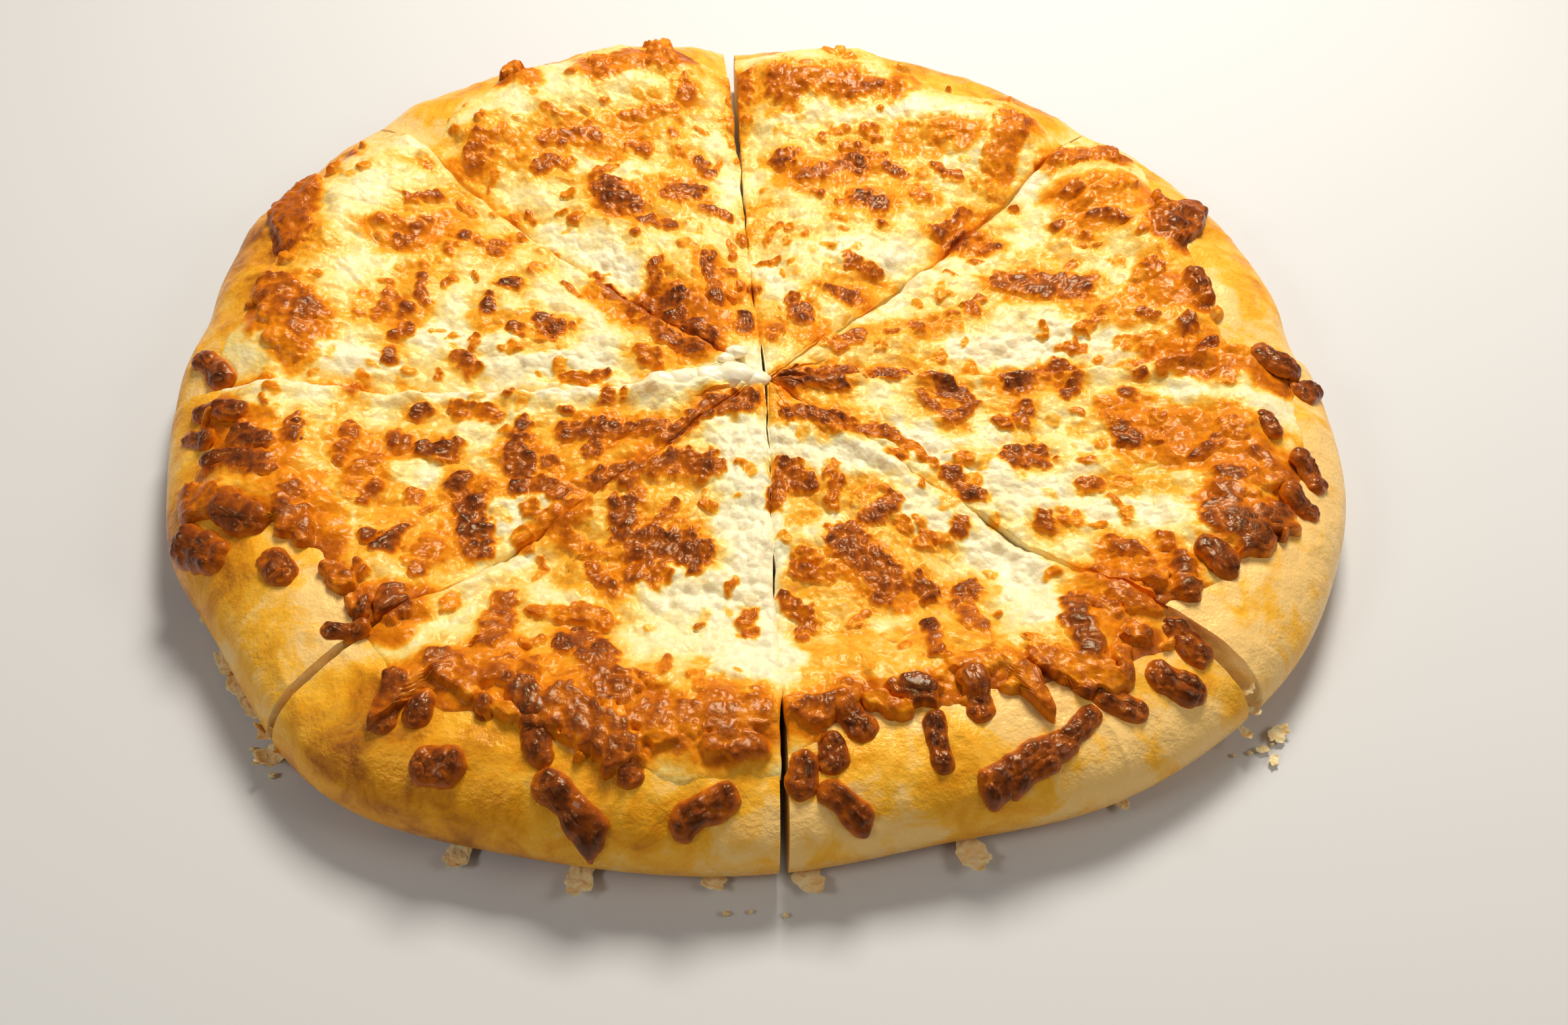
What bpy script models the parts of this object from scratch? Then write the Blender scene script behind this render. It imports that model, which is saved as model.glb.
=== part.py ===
"""A round khachapuri, about 30 cm across, cut by four strokes into eight slices that still lie together.

Each slice is a wedge of leavened dough with a thick swollen rim and a layer of white curd cheese baked into it.
A sheet of grated cheese has melted over its top, and its uneven edge stops short of the rim. Browned shreds of
the same cheese lie by themselves on the bare rim. Slices are numbered anticlockwise from the right-hand cut.

Metres, +Z up. The origin is under the middle of the bread, on the plane that it lies on. +Y is away from the
side that is seen first, and +X is to the right.
"""

import math

import bpy
import numpy as np

# The bread's outline, an oval with slow waves
HALF_WIDTH = 0.1485
HALF_DEPTH = 0.1455
OUTLINE_WAVES = ((3, 0.0006, 0.6), (5, 0.0005, 2.0), (11, 0.0004, 0.0))

# Corners that stand out and sides that lie flat: the angle, the degrees to each side, and how far out or in
OUTLINE_BUMPS = (
    (233.0, 12.0, 0.0060), (272.0, 17.0, -0.0055), (287.0, 12.0, -0.0040), (323.0, 14.5, 0.0056),
    (343.0, 10.0, 0.0032), (4.0, 5.0, -0.0030), (24.0, 6.0, 0.0030), (40.0, 10.0, 0.0022), (60.0, 10.0, 0.0028),
    (76.0, 7.0, 0.0030), (106.0, 14.0, 0.0050), (132.0, 16.0, 0.0045), (160.0, 5.0, 0.0030), (176.0, 5.0, -0.0026),
    (206.0, 6.0, 0.0018),
)

# The middle of the finished box, which goes over the origin
BOX_MIDDLE = (0.0005, 0.0034, 0.0)

# The four strokes cross off the middle. Each cut spreads by some degrees on both sides where slices moved apart
CROSSING = (0.0015, -0.0120)
CUT_DEGREES = (4.0, 47.5, 93.5, 137.0, 184.0, 223.5, 270.9, 319.0)
CUT_SPREAD_DEGREES = (0.15, 0.15, 0.45, 0.10, 0.15, 0.20, 0.15, 0.80)
CUT_GAP = 0.0012
TIP_CUT_OFF = 0.0014

# The dough's heights
WIDEST_HEIGHT = 0.0090
CREST_HEIGHT = 0.0218
MIDDLE_HEIGHT = 0.0132
CENTRE_RISE = 0.0022
CREST_INSET = 0.024
CREST_WIDTH = 0.021
SHOULDER_POWER = 2.4
SHOULDER_ROUND = 0.55
CENTRE_WIDTH = 0.040
UNDERCUT = 0.008
SINK_AT_CUT = (0.0040, 0.0042, 0.0042, 0.0040, 0.0004, 0.0008, 0.0008, 0.0006)
SINK_WIDTH = 0.010
SINK_START = 0.055
SLICE_LIFT = (0.0, 0.0, -0.0004, 0.0002, 0.0010, 0.0013, 0.0010, 0.0010)

# The two front slices have a fold across them, some way out from the tip
FOLD_DEPTH = (0.0, 0.0, 0.0, 0.0, 0.0, 0.0016, 0.0026, 0.0)
FOLD_DISTANCE = 0.076
FOLD_WIDTH = 0.010

# How far the melted sheet stops short of the outline, at even steps from a slice's first cut to its last
SHEET_INSETS = (
    (0.0225, 0.0245, 0.0230, 0.0185, 0.0090, 0.0080),
    (0.0160, 0.0140, 0.0225, 0.0110, 0.0090, 0.0100),
    (0.0230, 0.0110, 0.0090, 0.0110, 0.0200, 0.0260),
    (0.0080, 0.0080, 0.0085, 0.0155, 0.0120, 0.0100),
    (0.0130, 0.0100, 0.0080, 0.0250, 0.0275, 0.0235),
    (0.0245, 0.0205, 0.0215, 0.0165, 0.0125, 0.0145),
    (0.0170, 0.0260, 0.0220, 0.0250, 0.0200, 0.0175),
    (0.0270, 0.0210, 0.0150, 0.0130, 0.0130, 0.0070),
)
LOBE_DEPTH = 0.0018
LOBES_A_SLICE = 5
CLOSEST_TO_OUTLINE = 0.005
SHEET_THICKNESS = 0.0026
SHEET_EDGE_THICKNESS = 0.0013
SHEET_EDGE_POWER = 10

# The largest browned places, where the sheet stands proud: x, y and radius
BLISTERS = (
    (0.080, 0.028, 0.012), (0.104, 0.055, 0.010), (0.122, 0.064, 0.009), (0.027, 0.077, 0.010),
    (0.009, 0.085, 0.008), (0.028, 0.114, 0.012), (-0.040, 0.064, 0.010), (-0.021, 0.068, 0.009),
    (-0.018, 0.020, 0.009), (-0.082, 0.082, 0.009), (-0.121, 0.008, 0.011), (-0.054, 0.010, 0.008),
    (-0.128, 0.052, 0.011), (-0.124, -0.064, 0.012), (-0.120, -0.040, 0.011), (-0.066, -0.063, 0.010),
    (-0.050, -0.040, 0.011), (-0.021, -0.066, 0.011), (-0.025, -0.042, 0.010), (-0.040, -0.104, 0.013),
    (-0.020, -0.120, 0.010), (0.024, -0.066, 0.012), (0.045, -0.080, 0.009), (0.020, -0.112, 0.010),
    (0.088, -0.098, 0.009), (0.115, -0.056, 0.014), (0.131, -0.020, 0.010), (0.050, -0.016, 0.009),
)
BLISTER_RISE = 0.0015
BLISTER_FALL = 2.0

# The curd layer fills these shares of the dough's height, and ends this far inside the outline
CURD_FLOOR = 0.30
CURD_ROOF = 0.72
CURD_INSET = 0.048
CURD_BULGE = 0.002
CURD_LAST_STEP = 0.006

# Shreds on the bare rim: slice, x, y, length, width, degrees that its length turns from +X
SHREDS = (
    (5, -0.0650, -0.1240, 0.0120, 0.0085, 4.0),
    (5, -0.0385, -0.1315, 0.0165, 0.0070, -42.0),
    (5, -0.0120, -0.1328, 0.0150, 0.0068, 26.0),
    (6, 0.0155, -0.1312, 0.0125, 0.0062, -36.0),
    (6, 0.0530, -0.1230, 0.0230, 0.0068, 29.0),
    (4, -0.1055, -0.0770, 0.0110, 0.0080, -47.0),
)
SHRED_RISE = 0.0028
SHRED_LIFT = 0.0006
SHRED_EDGE = 0.0006
SHRED_SIDES = 14
SHRED_RINGS = (0.35, 0.70, 0.92)

# Neighbours keep this gap
GAP = 0.0003

# How finely each slice is divided
RAYS = 11
SHEET_ROWS = 12
RIM_ROWS = 6
UNDERCUT_ROWS = 3
CURD_ROW_STEP = 3
ROW_CROWDING = 0.9
RIM_ROW_CROWDING = 1.3
OUTLINE_CORRECTIONS = 20
SHARP_DEGREES = 40.0

# Room that a ray may lie outside its slice, in radians, before a full turn is added to it
RAY_ROOM = 0.1

COLOURS = {
    "crust": ((0.76, 0.45, 0.15), 0.45),
    "melted_cheese": ((0.88, 0.66, 0.28), 0.38),
    "curd": ((0.90, 0.86, 0.70), 0.60),
    "browned_cheese": ((0.30, 0.075, 0.020), 0.40),
}


def clear_scene():
    for obj in list(bpy.data.objects):
        bpy.data.objects.remove(obj, do_unlink=True)


def make_materials():
    """One Principled material for each kind of food, not metallic."""
    made = {}
    for name, (colour, roughness) in COLOURS.items():
        material = bpy.data.materials.new(name)
        material.use_nodes = True
        shader = material.node_tree.nodes["Principled BSDF"]
        shader.inputs["Base Color"].default_value = (*colour, 1.0)
        shader.inputs["Roughness"].default_value = roughness
        shader.inputs["Metallic"].default_value = 0.0
        made[name] = material
    return made


def smooth(value):
    """0 below 0, 1 above 1, and a soft step between."""
    value = np.clip(value, 0.0, 1.0)
    return value * value * (3.0 - 2.0 * value)


def outline_radius(angle):
    """Distance from the middle to the rim's widest line: the oval, and its waves."""
    across = HALF_DEPTH * np.cos(angle)
    along = HALF_WIDTH * np.sin(angle)
    radius = HALF_WIDTH * HALF_DEPTH / np.hypot(across, along)
    for count, size, turn in OUTLINE_WAVES:
        radius = radius + size * np.sin(count * angle + turn)
    for degrees, spread, change in OUTLINE_BUMPS:
        off = (np.degrees(angle) - degrees + 180.0) % 360.0 - 180.0
        radius = radius + change * np.exp(-((off / spread) ** 2))
    return radius


def slice_sides(number):
    """The angles of a slice's two cuts, the second one larger."""
    first = math.radians(CUT_DEGREES[number])
    last = math.radians(CUT_DEGREES[(number + 1) % len(CUT_DEGREES)])
    if last < first:
        last += 2.0 * math.pi
    return first, last


def slice_apex(number):
    """Where the slice's two cut faces would meet: both stand half a gap inside the strokes."""
    first, last = slice_sides(number)
    middle = (first + last) / 2.0
    shift = CUT_GAP / 2.0 / math.sin((last - first) / 2.0)
    return np.array(CROSSING) + shift * np.array((math.cos(middle), math.sin(middle)))


def slice_rays(number):
    """Even angles from one cut face to the other, as seen from the apex."""
    first, last = slice_sides(number)
    first += math.radians(CUT_SPREAD_DEGREES[number])
    last -= math.radians(CUT_SPREAD_DEGREES[(number + 1) % len(CUT_DEGREES)])
    return np.linspace(first, last, RAYS)


def reach_to_outline(apex, rays):
    """Length of each ray from the apex to the outline: a guess that is corrected by what it misses."""
    reach = np.full(np.shape(rays), HALF_WIDTH)
    for _ in range(OUTLINE_CORRECTIONS):
        x = apex[0] + reach * np.cos(rays)
        y = apex[1] + reach * np.sin(rays)
        reach = reach + outline_radius(np.arctan2(y, x)) - np.hypot(x, y)
    return reach


def crust_height(number, inset, distance, ray):
    """Top of the dough, from the inset to the outline, the distance to the apex and the angle of the ray.

    A bell at the crest stands on a level middle that rises at the tip. Outside the crest the height falls to
    the widest line as a superellipse. Both sink towards the cuts, where the slice was pressed down.
    """
    middle = MIDDLE_HEIGHT + CENTRE_RISE * np.exp(-((distance / CENTRE_WIDTH) ** 2))
    fold = FOLD_DEPTH[number] * np.exp(-(((distance - FOLD_DISTANCE) / FOLD_WIDTH) ** 2))
    bell = np.exp(-(((inset - CREST_INSET) / CREST_WIDTH) ** 2))
    inner = middle - fold + (CREST_HEIGHT - middle) * bell
    outward = np.clip((CREST_INSET - inset) / CREST_INSET, 0.0, 1.0)
    shoulder = (1.0 - outward**SHOULDER_POWER) ** SHOULDER_ROUND
    outer = WIDEST_HEIGHT + (CREST_HEIGHT - WIDEST_HEIGHT) * shoulder
    first, last = slice_sides(number)
    to_cut = distance * np.sin(np.minimum(np.abs(ray - first), np.abs(last - ray)))
    sink = SINK_AT_CUT[number] * np.exp(-((to_cut / SINK_WIDTH) ** 2)) * smooth(distance / SINK_START)
    top = np.where(inset > CREST_INSET, inner, outer)
    return top + (SLICE_LIFT[number] - sink) * np.where(inset > CREST_INSET, 1.0, shoulder)


def crust_at(number, x, y):
    """Top of the dough at points of the plan."""
    apex = slice_apex(number)
    ray = np.arctan2(y - apex[1], x - apex[0])
    ray = np.where(ray < slice_sides(number)[0] - RAY_ROOM, ray + 2.0 * math.pi, ray)
    distance = np.hypot(x - apex[0], y - apex[1])
    return crust_height(number, reach_to_outline(apex, ray) - distance, distance, ray)


def sheet_inset(number):
    """How far the sheet stops short of the outline on each ray: soft steps between the named insets, and lobes."""
    insets = np.array(SHEET_INSETS[number])
    share = np.linspace(0.0, len(insets) - 1.0, RAYS)
    start = np.minimum(share.astype(int), len(insets) - 2)
    edge = insets[start] + (insets[start + 1] - insets[start]) * smooth(share - start)
    lobes = np.sin(np.linspace(0.0, LOBES_A_SLICE * 2.0 * math.pi, RAYS) + number)
    return np.maximum(edge + LOBE_DEPTH * lobes, CLOSEST_TO_OUTLINE)


def blister_rise(x, y):
    """Sum of round bumps at the browned places."""
    rise = np.zeros(np.shape(x))
    for centre_x, centre_y, radius in BLISTERS:
        squared = ((x - centre_x) ** 2 + (y - centre_y) ** 2) / radius**2
        rise = rise + BLISTER_RISE * np.exp(-BLISTER_FALL * squared)
    return rise


def points_on(apex, rays, distance, height):
    """Points of the given distance and height on each ray."""
    x = apex[0] + distance * np.cos(rays)
    y = apex[1] + distance * np.sin(rays)
    return np.stack([x, y, np.broadcast_to(height, np.shape(x))], axis=-1)


def swept_solid(name, loops, material):
    """A closed loop carried over the rays: loops[k] is the loop on ray k. Both ends are flat and closed.

    Every cell is split along the same diagonal, so that two solids which share rows have parallel facets.
    """
    rays, steps = loops.shape[:2]
    corner = np.arange(rays * steps).reshape(rays, steps)
    here = corner[:-1].ravel()
    there = corner[1:].ravel()
    here_next = np.roll(corner, -1, axis=1)[:-1].ravel()
    there_next = np.roll(corner, -1, axis=1)[1:].ravel()
    faces = np.concatenate([
        np.stack([here, here_next, there_next], axis=1),
        np.stack([here, there_next, there], axis=1),
    ]).tolist()
    faces.append(corner[0][::-1].tolist())
    faces.append(corner[-1].tolist())
    return add_solid(name, loops.reshape(-1, 3), faces, material)


def add_solid(name, points, faces, material):
    """A mesh object whose faces point out, flat on its cut faces and smooth elsewhere."""
    mesh = bpy.data.meshes.new(name)
    mesh.from_pydata((points - np.array(BOX_MIDDLE)).tolist(), [], faces)
    mesh.materials.append(material)
    mesh.update()
    if signed_volume(mesh) < 0.0:
        mesh.flip_normals()
    mesh.shade_smooth()
    mesh.set_sharp_from_angle(angle=math.radians(SHARP_DEGREES))
    obj = bpy.data.objects.new(name, mesh)
    bpy.context.scene.collection.objects.link(obj)
    return obj


def signed_volume(mesh):
    """Volume inside the faces, negative where they point inwards."""
    total = 0.0
    mesh.calc_loop_triangles()
    for triangle in mesh.loop_triangles:
        a, b, c = (mesh.vertices[index].co for index in triangle.vertices)
        total += a.dot(b.cross(c)) / 6.0
    return total


def make_slice(number, materials):
    """The dough, the curd in it and the melted sheet on it, from one fan of rays."""
    apex = slice_apex(number)
    rays = slice_rays(number)
    reach = reach_to_outline(apex, rays)
    tip = TIP_CUT_OFF + np.zeros(RAYS)
    edge = reach - sheet_inset(number)

    def top_at(distance):
        return crust_height(number, reach - distance, distance, rays)

    def row(distance, height):
        return points_on(apex, rays, distance, height)

    # The rows under the sheet, from the tip out. The dough's top and the sheet share them
    shares = np.linspace(0.0, 1.0, SHEET_ROWS) ** ROW_CROWDING
    covered = [tip + (edge - tip) * share for share in shares]
    tops = [top_at(distance) for distance in covered]

    # The bare rim from the sheet's edge to the widest line, then the undercut down to the base
    edge_angle = np.arccos(np.clip(shoulder_cosine(reach - edge), 0.0, 1.0))
    rim = []
    for step in range(1, RIM_ROWS + 1):
        turn = edge_angle + (math.pi / 2.0 - edge_angle) * step / RIM_ROWS
        inset = CREST_INSET * (1.0 - np.sin(turn) ** (2.0 / SHOULDER_POWER))
        from_inside = (reach - edge) * (1.0 - step / RIM_ROWS) ** RIM_ROW_CROWDING
        inset = np.where(reach - edge > CREST_INSET, from_inside, inset)
        rim.append(row(reach - inset, top_at(reach - inset)))
    under = []
    for step in range(1, UNDERCUT_ROWS + 1):
        turn = math.pi / 2.0 * step / UNDERCUT_ROWS
        inset = UNDERCUT * (1.0 - math.cos(turn))
        under.append(row(reach - inset, WIDEST_HEIGHT * (1.0 - math.sin(turn))))
    base = [row(tip, 0.0), row(tip + (reach - UNDERCUT - tip) * 0.5, 0.0)]

    # The curd's rows follow every few rows of the top, out to its own end
    end = reach - CURD_INSET
    inner = [d for d in covered[::CURD_ROW_STEP] if np.all(d < end - CURD_LAST_STEP)] + [end]
    roof = [row(d, CURD_ROOF * top_at(d)) for d in inner]
    floor = [row(d, CURD_FLOOR * top_at(d)) for d in inner]
    bulge = row(end + CURD_BULGE, (CURD_ROOF + CURD_FLOOR) / 2.0 * top_at(end))

    dough = base + under[::-1] + rim[::-1]
    dough += [row(d, top) for d, top in zip(covered[::-1], tops[::-1])]
    dough += roof + [bulge] + floor[::-1]
    swept_solid(f"bread_{number + 1}", np.stack(dough, axis=1), materials["crust"])

    # The curd keeps the gap to the dough all round
    drop = np.array((0.0, 0.0, GAP))
    inner_end = row(end - GAP, CURD_ROOF * top_at(end - GAP))
    curd_roof = [r - drop for r in roof[:-1]] + [inner_end - drop]
    inner_end = row(end - GAP, CURD_FLOOR * top_at(end - GAP))
    curd_floor = [r + drop for r in floor[:-1]] + [inner_end + drop]
    nose = row(end + CURD_BULGE - 2.0 * GAP, (CURD_ROOF + CURD_FLOOR) / 2.0 * top_at(end))
    curd = curd_roof + [nose] + curd_floor[::-1]
    swept_solid(f"curd_{number + 1}", np.stack(curd, axis=1), materials["curd"])

    # The sheet: its top outwards, then its underside inwards, just above the dough
    sheet_top = []
    sheet_under = []
    for share, distance, top in zip(shares, covered, tops):
        thickness = SHEET_THICKNESS + (SHEET_EDGE_THICKNESS - SHEET_THICKNESS) * share**SHEET_EDGE_POWER
        flat = row(distance, 0.0)
        thickness = thickness + blister_rise(flat[:, 0], flat[:, 1])
        sheet_top.append(row(distance, top + GAP + thickness))
        sheet_under.append(row(distance, top + GAP))
    sheet = sheet_top + sheet_under[::-1]
    swept_solid(f"cheese_{number + 1}", np.stack(sheet, axis=1), materials["melted_cheese"])


def shoulder_cosine(inset):
    """Cosine of the superellipse's angle at an inset outside the crest, and 1 inside it."""
    outward = np.clip((CREST_INSET - inset) / CREST_INSET, 0.0, 1.0)
    return np.sqrt(1.0 - outward**SHOULDER_POWER)


def make_shred(index, materials):
    """A browned shred on the bare rim: rings about its middle, domed above and following the crust below."""
    number, x, y, length, width, degrees = SHREDS[index]
    turn = math.radians(degrees)
    round_angle = np.arange(SHRED_SIDES) * 2.0 * math.pi / SHRED_SIDES
    along = length / 2.0 * np.cos(round_angle)
    across = width / 2.0 * np.sin(round_angle)
    outer_x = along * math.cos(turn) - across * math.sin(turn)
    outer_y = along * math.sin(turn) + across * math.cos(turn)

    def ring(share, height):
        ring_x = x + share * outer_x
        ring_y = y + share * outer_y
        bed = crust_at(number, ring_x, ring_y) + SHRED_LIFT
        return np.stack([ring_x, ring_y, bed + height], axis=-1)

    middle = np.array((x, y, float(crust_at(number, np.array([x]), np.array([y]))[0]) + SHRED_LIFT))
    rings = [ring(share, 0.0) for share in SHRED_RINGS]
    rings.append(ring(1.0, SHRED_EDGE))
    rings += [ring(share, SHRED_RISE * math.sqrt(1.0 - share**2)) for share in SHRED_RINGS[::-1]]
    points = np.concatenate([*rings, [middle], [middle + (0.0, 0.0, SHRED_RISE)]])
    below = len(rings) * SHRED_SIDES
    above = below + 1
    last = (len(rings) - 1) * SHRED_SIDES
    faces = []
    for side in range(SHRED_SIDES):
        following = (side + 1) % SHRED_SIDES
        faces.append((below, following, side))
        faces.append((above, last + side, last + following))
        for start in range(0, last, SHRED_SIDES):
            outer = start + SHRED_SIDES
            faces.append((start + side, start + following, outer + following))
            faces.append((start + side, outer + following, outer + side))
    add_solid(f"shred_{index + 1}", points, faces, materials["browned_cheese"])


clear_scene()
food_materials = make_materials()
for slice_number in range(len(CUT_DEGREES)):
    make_slice(slice_number, food_materials)
for shred_index in range(len(SHREDS)):
    make_shred(shred_index, food_materials)
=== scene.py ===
import math

import bpy
import numpy as np
from mathutils import Matrix, Vector


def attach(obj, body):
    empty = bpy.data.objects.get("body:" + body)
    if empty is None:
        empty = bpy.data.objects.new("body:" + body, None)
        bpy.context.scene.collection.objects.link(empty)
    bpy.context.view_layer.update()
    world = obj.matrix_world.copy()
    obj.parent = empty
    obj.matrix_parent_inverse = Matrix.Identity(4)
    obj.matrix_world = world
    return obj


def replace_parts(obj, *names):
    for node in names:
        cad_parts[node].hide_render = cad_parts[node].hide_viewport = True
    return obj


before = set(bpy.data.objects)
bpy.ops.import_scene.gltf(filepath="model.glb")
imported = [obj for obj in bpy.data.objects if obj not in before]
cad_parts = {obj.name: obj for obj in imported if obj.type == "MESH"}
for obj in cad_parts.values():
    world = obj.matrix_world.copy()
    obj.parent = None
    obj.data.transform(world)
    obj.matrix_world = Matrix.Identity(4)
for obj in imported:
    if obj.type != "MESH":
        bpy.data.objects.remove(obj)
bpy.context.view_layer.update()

# The view: a hand-held picture from the front and above, a little turned and tilted. The lens is given as the
# distance in pixels that makes one radian, on a frame of the picture's own width.
CAMERA_PLACE = (-0.0112, -0.2567, 0.2576)
LOOK_DOWN = math.radians(50.47)
LOOK_RIGHT = math.radians(4.59)
TILT = math.radians(4.09)
LENS_PIXELS = 2020.0
FRAME_PIXELS = 2380.0
SENSOR_MM = 36.0

ahead = Vector((
    math.sin(LOOK_RIGHT) * math.cos(LOOK_DOWN),
    math.cos(LOOK_RIGHT) * math.cos(LOOK_DOWN),
    -math.sin(LOOK_DOWN),
))
level_right = ahead.cross(Vector((0.0, 0.0, 1.0))).normalized()
level_up = level_right.cross(ahead)
right = math.cos(TILT) * level_right + math.sin(TILT) * level_up
up = math.cos(TILT) * level_up - math.sin(TILT) * level_right
lens = bpy.data.cameras.new("camera")
lens.sensor_width = SENSOR_MM
lens.lens = LENS_PIXELS / FRAME_PIXELS * SENSOR_MM
camera = bpy.data.objects.new("camera", lens)
camera.matrix_world = Matrix((
    (right.x, up.x, -ahead.x, CAMERA_PLACE[0]),
    (right.y, up.y, -ahead.y, CAMERA_PLACE[1]),
    (right.z, up.z, -ahead.z, CAMERA_PLACE[2]),
    (0.0, 0.0, 0.0, 1.0),
))
bpy.context.scene.collection.objects.link(camera)
bpy.context.scene.camera = camera

# The dough: eight wedges of leavened bread with a thick rolled rim, baked golden and brushed with butter.
# Four strokes of a knife part them, so each has two flat faces that show the pale crumb round the curd.
HALF_WIDTH = 0.1485
HALF_DEPTH = 0.1455
OUTLINE_WAVES = ((3, 0.0006, 0.6), (5, 0.0005, 2.0), (11, 0.0004, 0.0))
# Corners (outwards) and flat sides (inwards) of the outline: degrees, spread in degrees, and metres
OUTLINE_BUMPS = (
    (233.0, 12.0, 0.0060), (272.0, 17.0, -0.0055), (287.0, 12.0, -0.0040), (323.0, 14.5, 0.0056),
    (343.0, 10.0, 0.0032), (4.0, 5.0, -0.0030), (24.0, 6.0, 0.0030), (40.0, 10.0, 0.0022),
    (60.0, 10.0, 0.0028), (76.0, 7.0, 0.0030), (106.0, 14.0, 0.0050), (132.0, 16.0, 0.0045),
    (160.0, 5.0, 0.0030), (176.0, 5.0, -0.0026), (206.0, 6.0, 0.0018),
)
# The middle of the box round that outline, which add_piece brings to the origin
BOX_MIDDLE = (0.0005, 0.0034, 0.0)
CROSSING = np.array((0.0015, -0.0120))
CUT_DEGREES = (4.0, 47.5, 93.5, 137.0, 184.0, 223.5, 270.9, 319.0)
CUT_SPREAD_DEGREES = (0.15, 0.15, 0.45, 0.10, 0.15, 0.20, 0.15, 0.80)
CUT_GAP = 0.0007
TIP_CUT_OFF = 0.0014
WIDEST_HEIGHT = 0.0090
CREST_HEIGHT = 0.0218
MIDDLE_HEIGHT = 0.0132
CENTRE_RISE = 0.0022
CENTRE_WIDTH = 0.040
CREST_INSET = 0.024
CREST_WIDTH = 0.021
SHOULDER_POWER = 2.4
SHOULDER_ROUND = 0.55
UNDERCUT = 0.008
SINK_AT_CUT = (0.0040, 0.0042, 0.0042, 0.0040, 0.0004, 0.0008, 0.0008, 0.0006)
SINK_WIDTH = 0.010
SINK_START = 0.055
SLICE_LIFT = (0.0, 0.0, -0.0004, 0.0002, 0.0010, 0.0013, 0.0010, 0.0010)
FOLD_DEPTH = (0.0, 0.0, 0.0, 0.0, 0.0, 0.0016, 0.0026, 0.0)
FOLD_DISTANCE = 0.076
FOLD_WIDTH = 0.010
SLICES = range(len(CUT_DEGREES))
DOUGH_RAYS = 200
DOUGH_SET_BACK = 0.0003
COVERED_ROWS = 30
BARE_ROWS = 64
UNDER_ROWS = 16
BARE_FROM_OUTLINE = 0.040
CRUST_PUFF = 0.00080
CRUST_WRINKLE = 0.00016
# How baked the crust is, from 0 for pale to 1 for brown: under the base, at the foot of the rim, where the
# sheet covers it, and how much it changes to the left, in blotches and beside a cut
BAKED_BASE = 0.55
BAKED_SIDE = 0.46
BAKED_COVERED = 0.35
BAKED_LEFT = 1.0
BLOTCH_SIZE = 0.035
BLOTCHES = 0.24
PALER_AT_CUT = 0.24
PALER_WIDTH = 0.006
UNDER_SHEET = 0.0004
BAKED = (0.0, 0.04, -0.06, 0.0, 0.02, 0.02, -0.14, -0.20)
# Places that took less heat: x, y, width, and how much paler
PALE_PLACES = (
    (-0.108, 0.092, 0.018, 0.50), (0.104, -0.090, 0.016, 0.25), (-0.094, -0.088, 0.014, 0.35),
    (0.012, -0.137, 0.012, 0.20), (-0.010, -0.137, 0.012, 0.25), (0.120, -0.060, 0.014, 0.15),
)


def smooth(value):
    """0 below 0, 1 above 1, and a soft step between."""
    value = np.clip(value, 0.0, 1.0)
    return value * value * (3.0 - 2.0 * value)


def hashed(column, row, seed):
    """A fixed value from 0 to 1 for each whole cell: odd multipliers, then shifts and multiplies."""
    mixed = (column * 374761393 + row * 668265263 + seed * 974634777) & 0xFFFFFFFF
    mixed = ((mixed ^ (mixed >> 13)) * 1274126177) & 0xFFFFFFFF
    mixed = ((mixed ^ (mixed >> 15)) * 1103515245) & 0xFFFFFFFF
    return ((mixed ^ (mixed >> 16)) & 0xFFFFFF) / 0xFFFFFF


def swell(x, y, size, seed):
    """Rolling noise from about -1 to 1: a random slope at each corner of a grid, softly blended."""
    u = x / size
    v = y / size
    column = np.floor(u).astype(np.int64)
    row = np.floor(v).astype(np.int64)
    u = u - column
    v = v - row

    def corner(right_of, above):
        turn = 2.0 * math.pi * hashed(column + right_of, row + above, seed)
        return np.cos(turn) * (u - right_of) + np.sin(turn) * (v - above)

    across = u**3 * (u * (6.0 * u - 15.0) + 10.0)
    upward = v**3 * (v * (6.0 * v - 15.0) + 10.0)
    low = corner(0, 0) + across * (corner(1, 0) - corner(0, 0))
    high = corner(0, 1) + across * (corner(1, 1) - corner(0, 1))
    return 1.5 * (low + upward * (high - low))


def layered(x, y, size, seed, layers=3):
    """Swells of halving size and height, added up."""
    total = 0.0
    for layer in range(layers):
        total = total + swell(x, y, size / 2.0**layer, seed + layer) / 2.0**layer
    return total


def domes(x, y, size, seed):
    """Round bubbles from 0 to 1: one dome of random place and width in each cell. The highest counts."""
    u = x / size
    v = y / size
    column = np.floor(u).astype(np.int64)
    row = np.floor(v).astype(np.int64)
    highest = np.zeros(np.shape(x))
    for beside in (-1, 0, 1):
        for above in (-1, 0, 1):
            cell = (column + beside, row + above)
            middle_u = cell[0] + 0.15 + 0.7 * hashed(*cell, seed)
            middle_v = cell[1] + 0.15 + 0.7 * hashed(*cell, seed + 1)
            radius = 0.35 + 0.40 * hashed(*cell, seed + 2)
            squared = ((u - middle_u) ** 2 + (v - middle_v) ** 2) / radius**2
            highest = np.maximum(highest, np.maximum(1.0 - squared, 0.0) ** 0.75 * radius / 0.75)
    return highest


def outline_radius(angle):
    """Distance from the middle to the rim's widest line: an oval with slow waves, corners and flat sides."""
    across = HALF_DEPTH * np.cos(angle)
    along = HALF_WIDTH * np.sin(angle)
    radius = HALF_WIDTH * HALF_DEPTH / np.hypot(across, along)
    for count, size, turn in OUTLINE_WAVES:
        radius = radius + size * np.sin(count * angle + turn)
    for degrees, spread, change in OUTLINE_BUMPS:
        off = (np.degrees(angle) - degrees + 180.0) % 360.0 - 180.0
        radius = radius + change * np.exp(-((off / spread) ** 2))
    return radius


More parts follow.
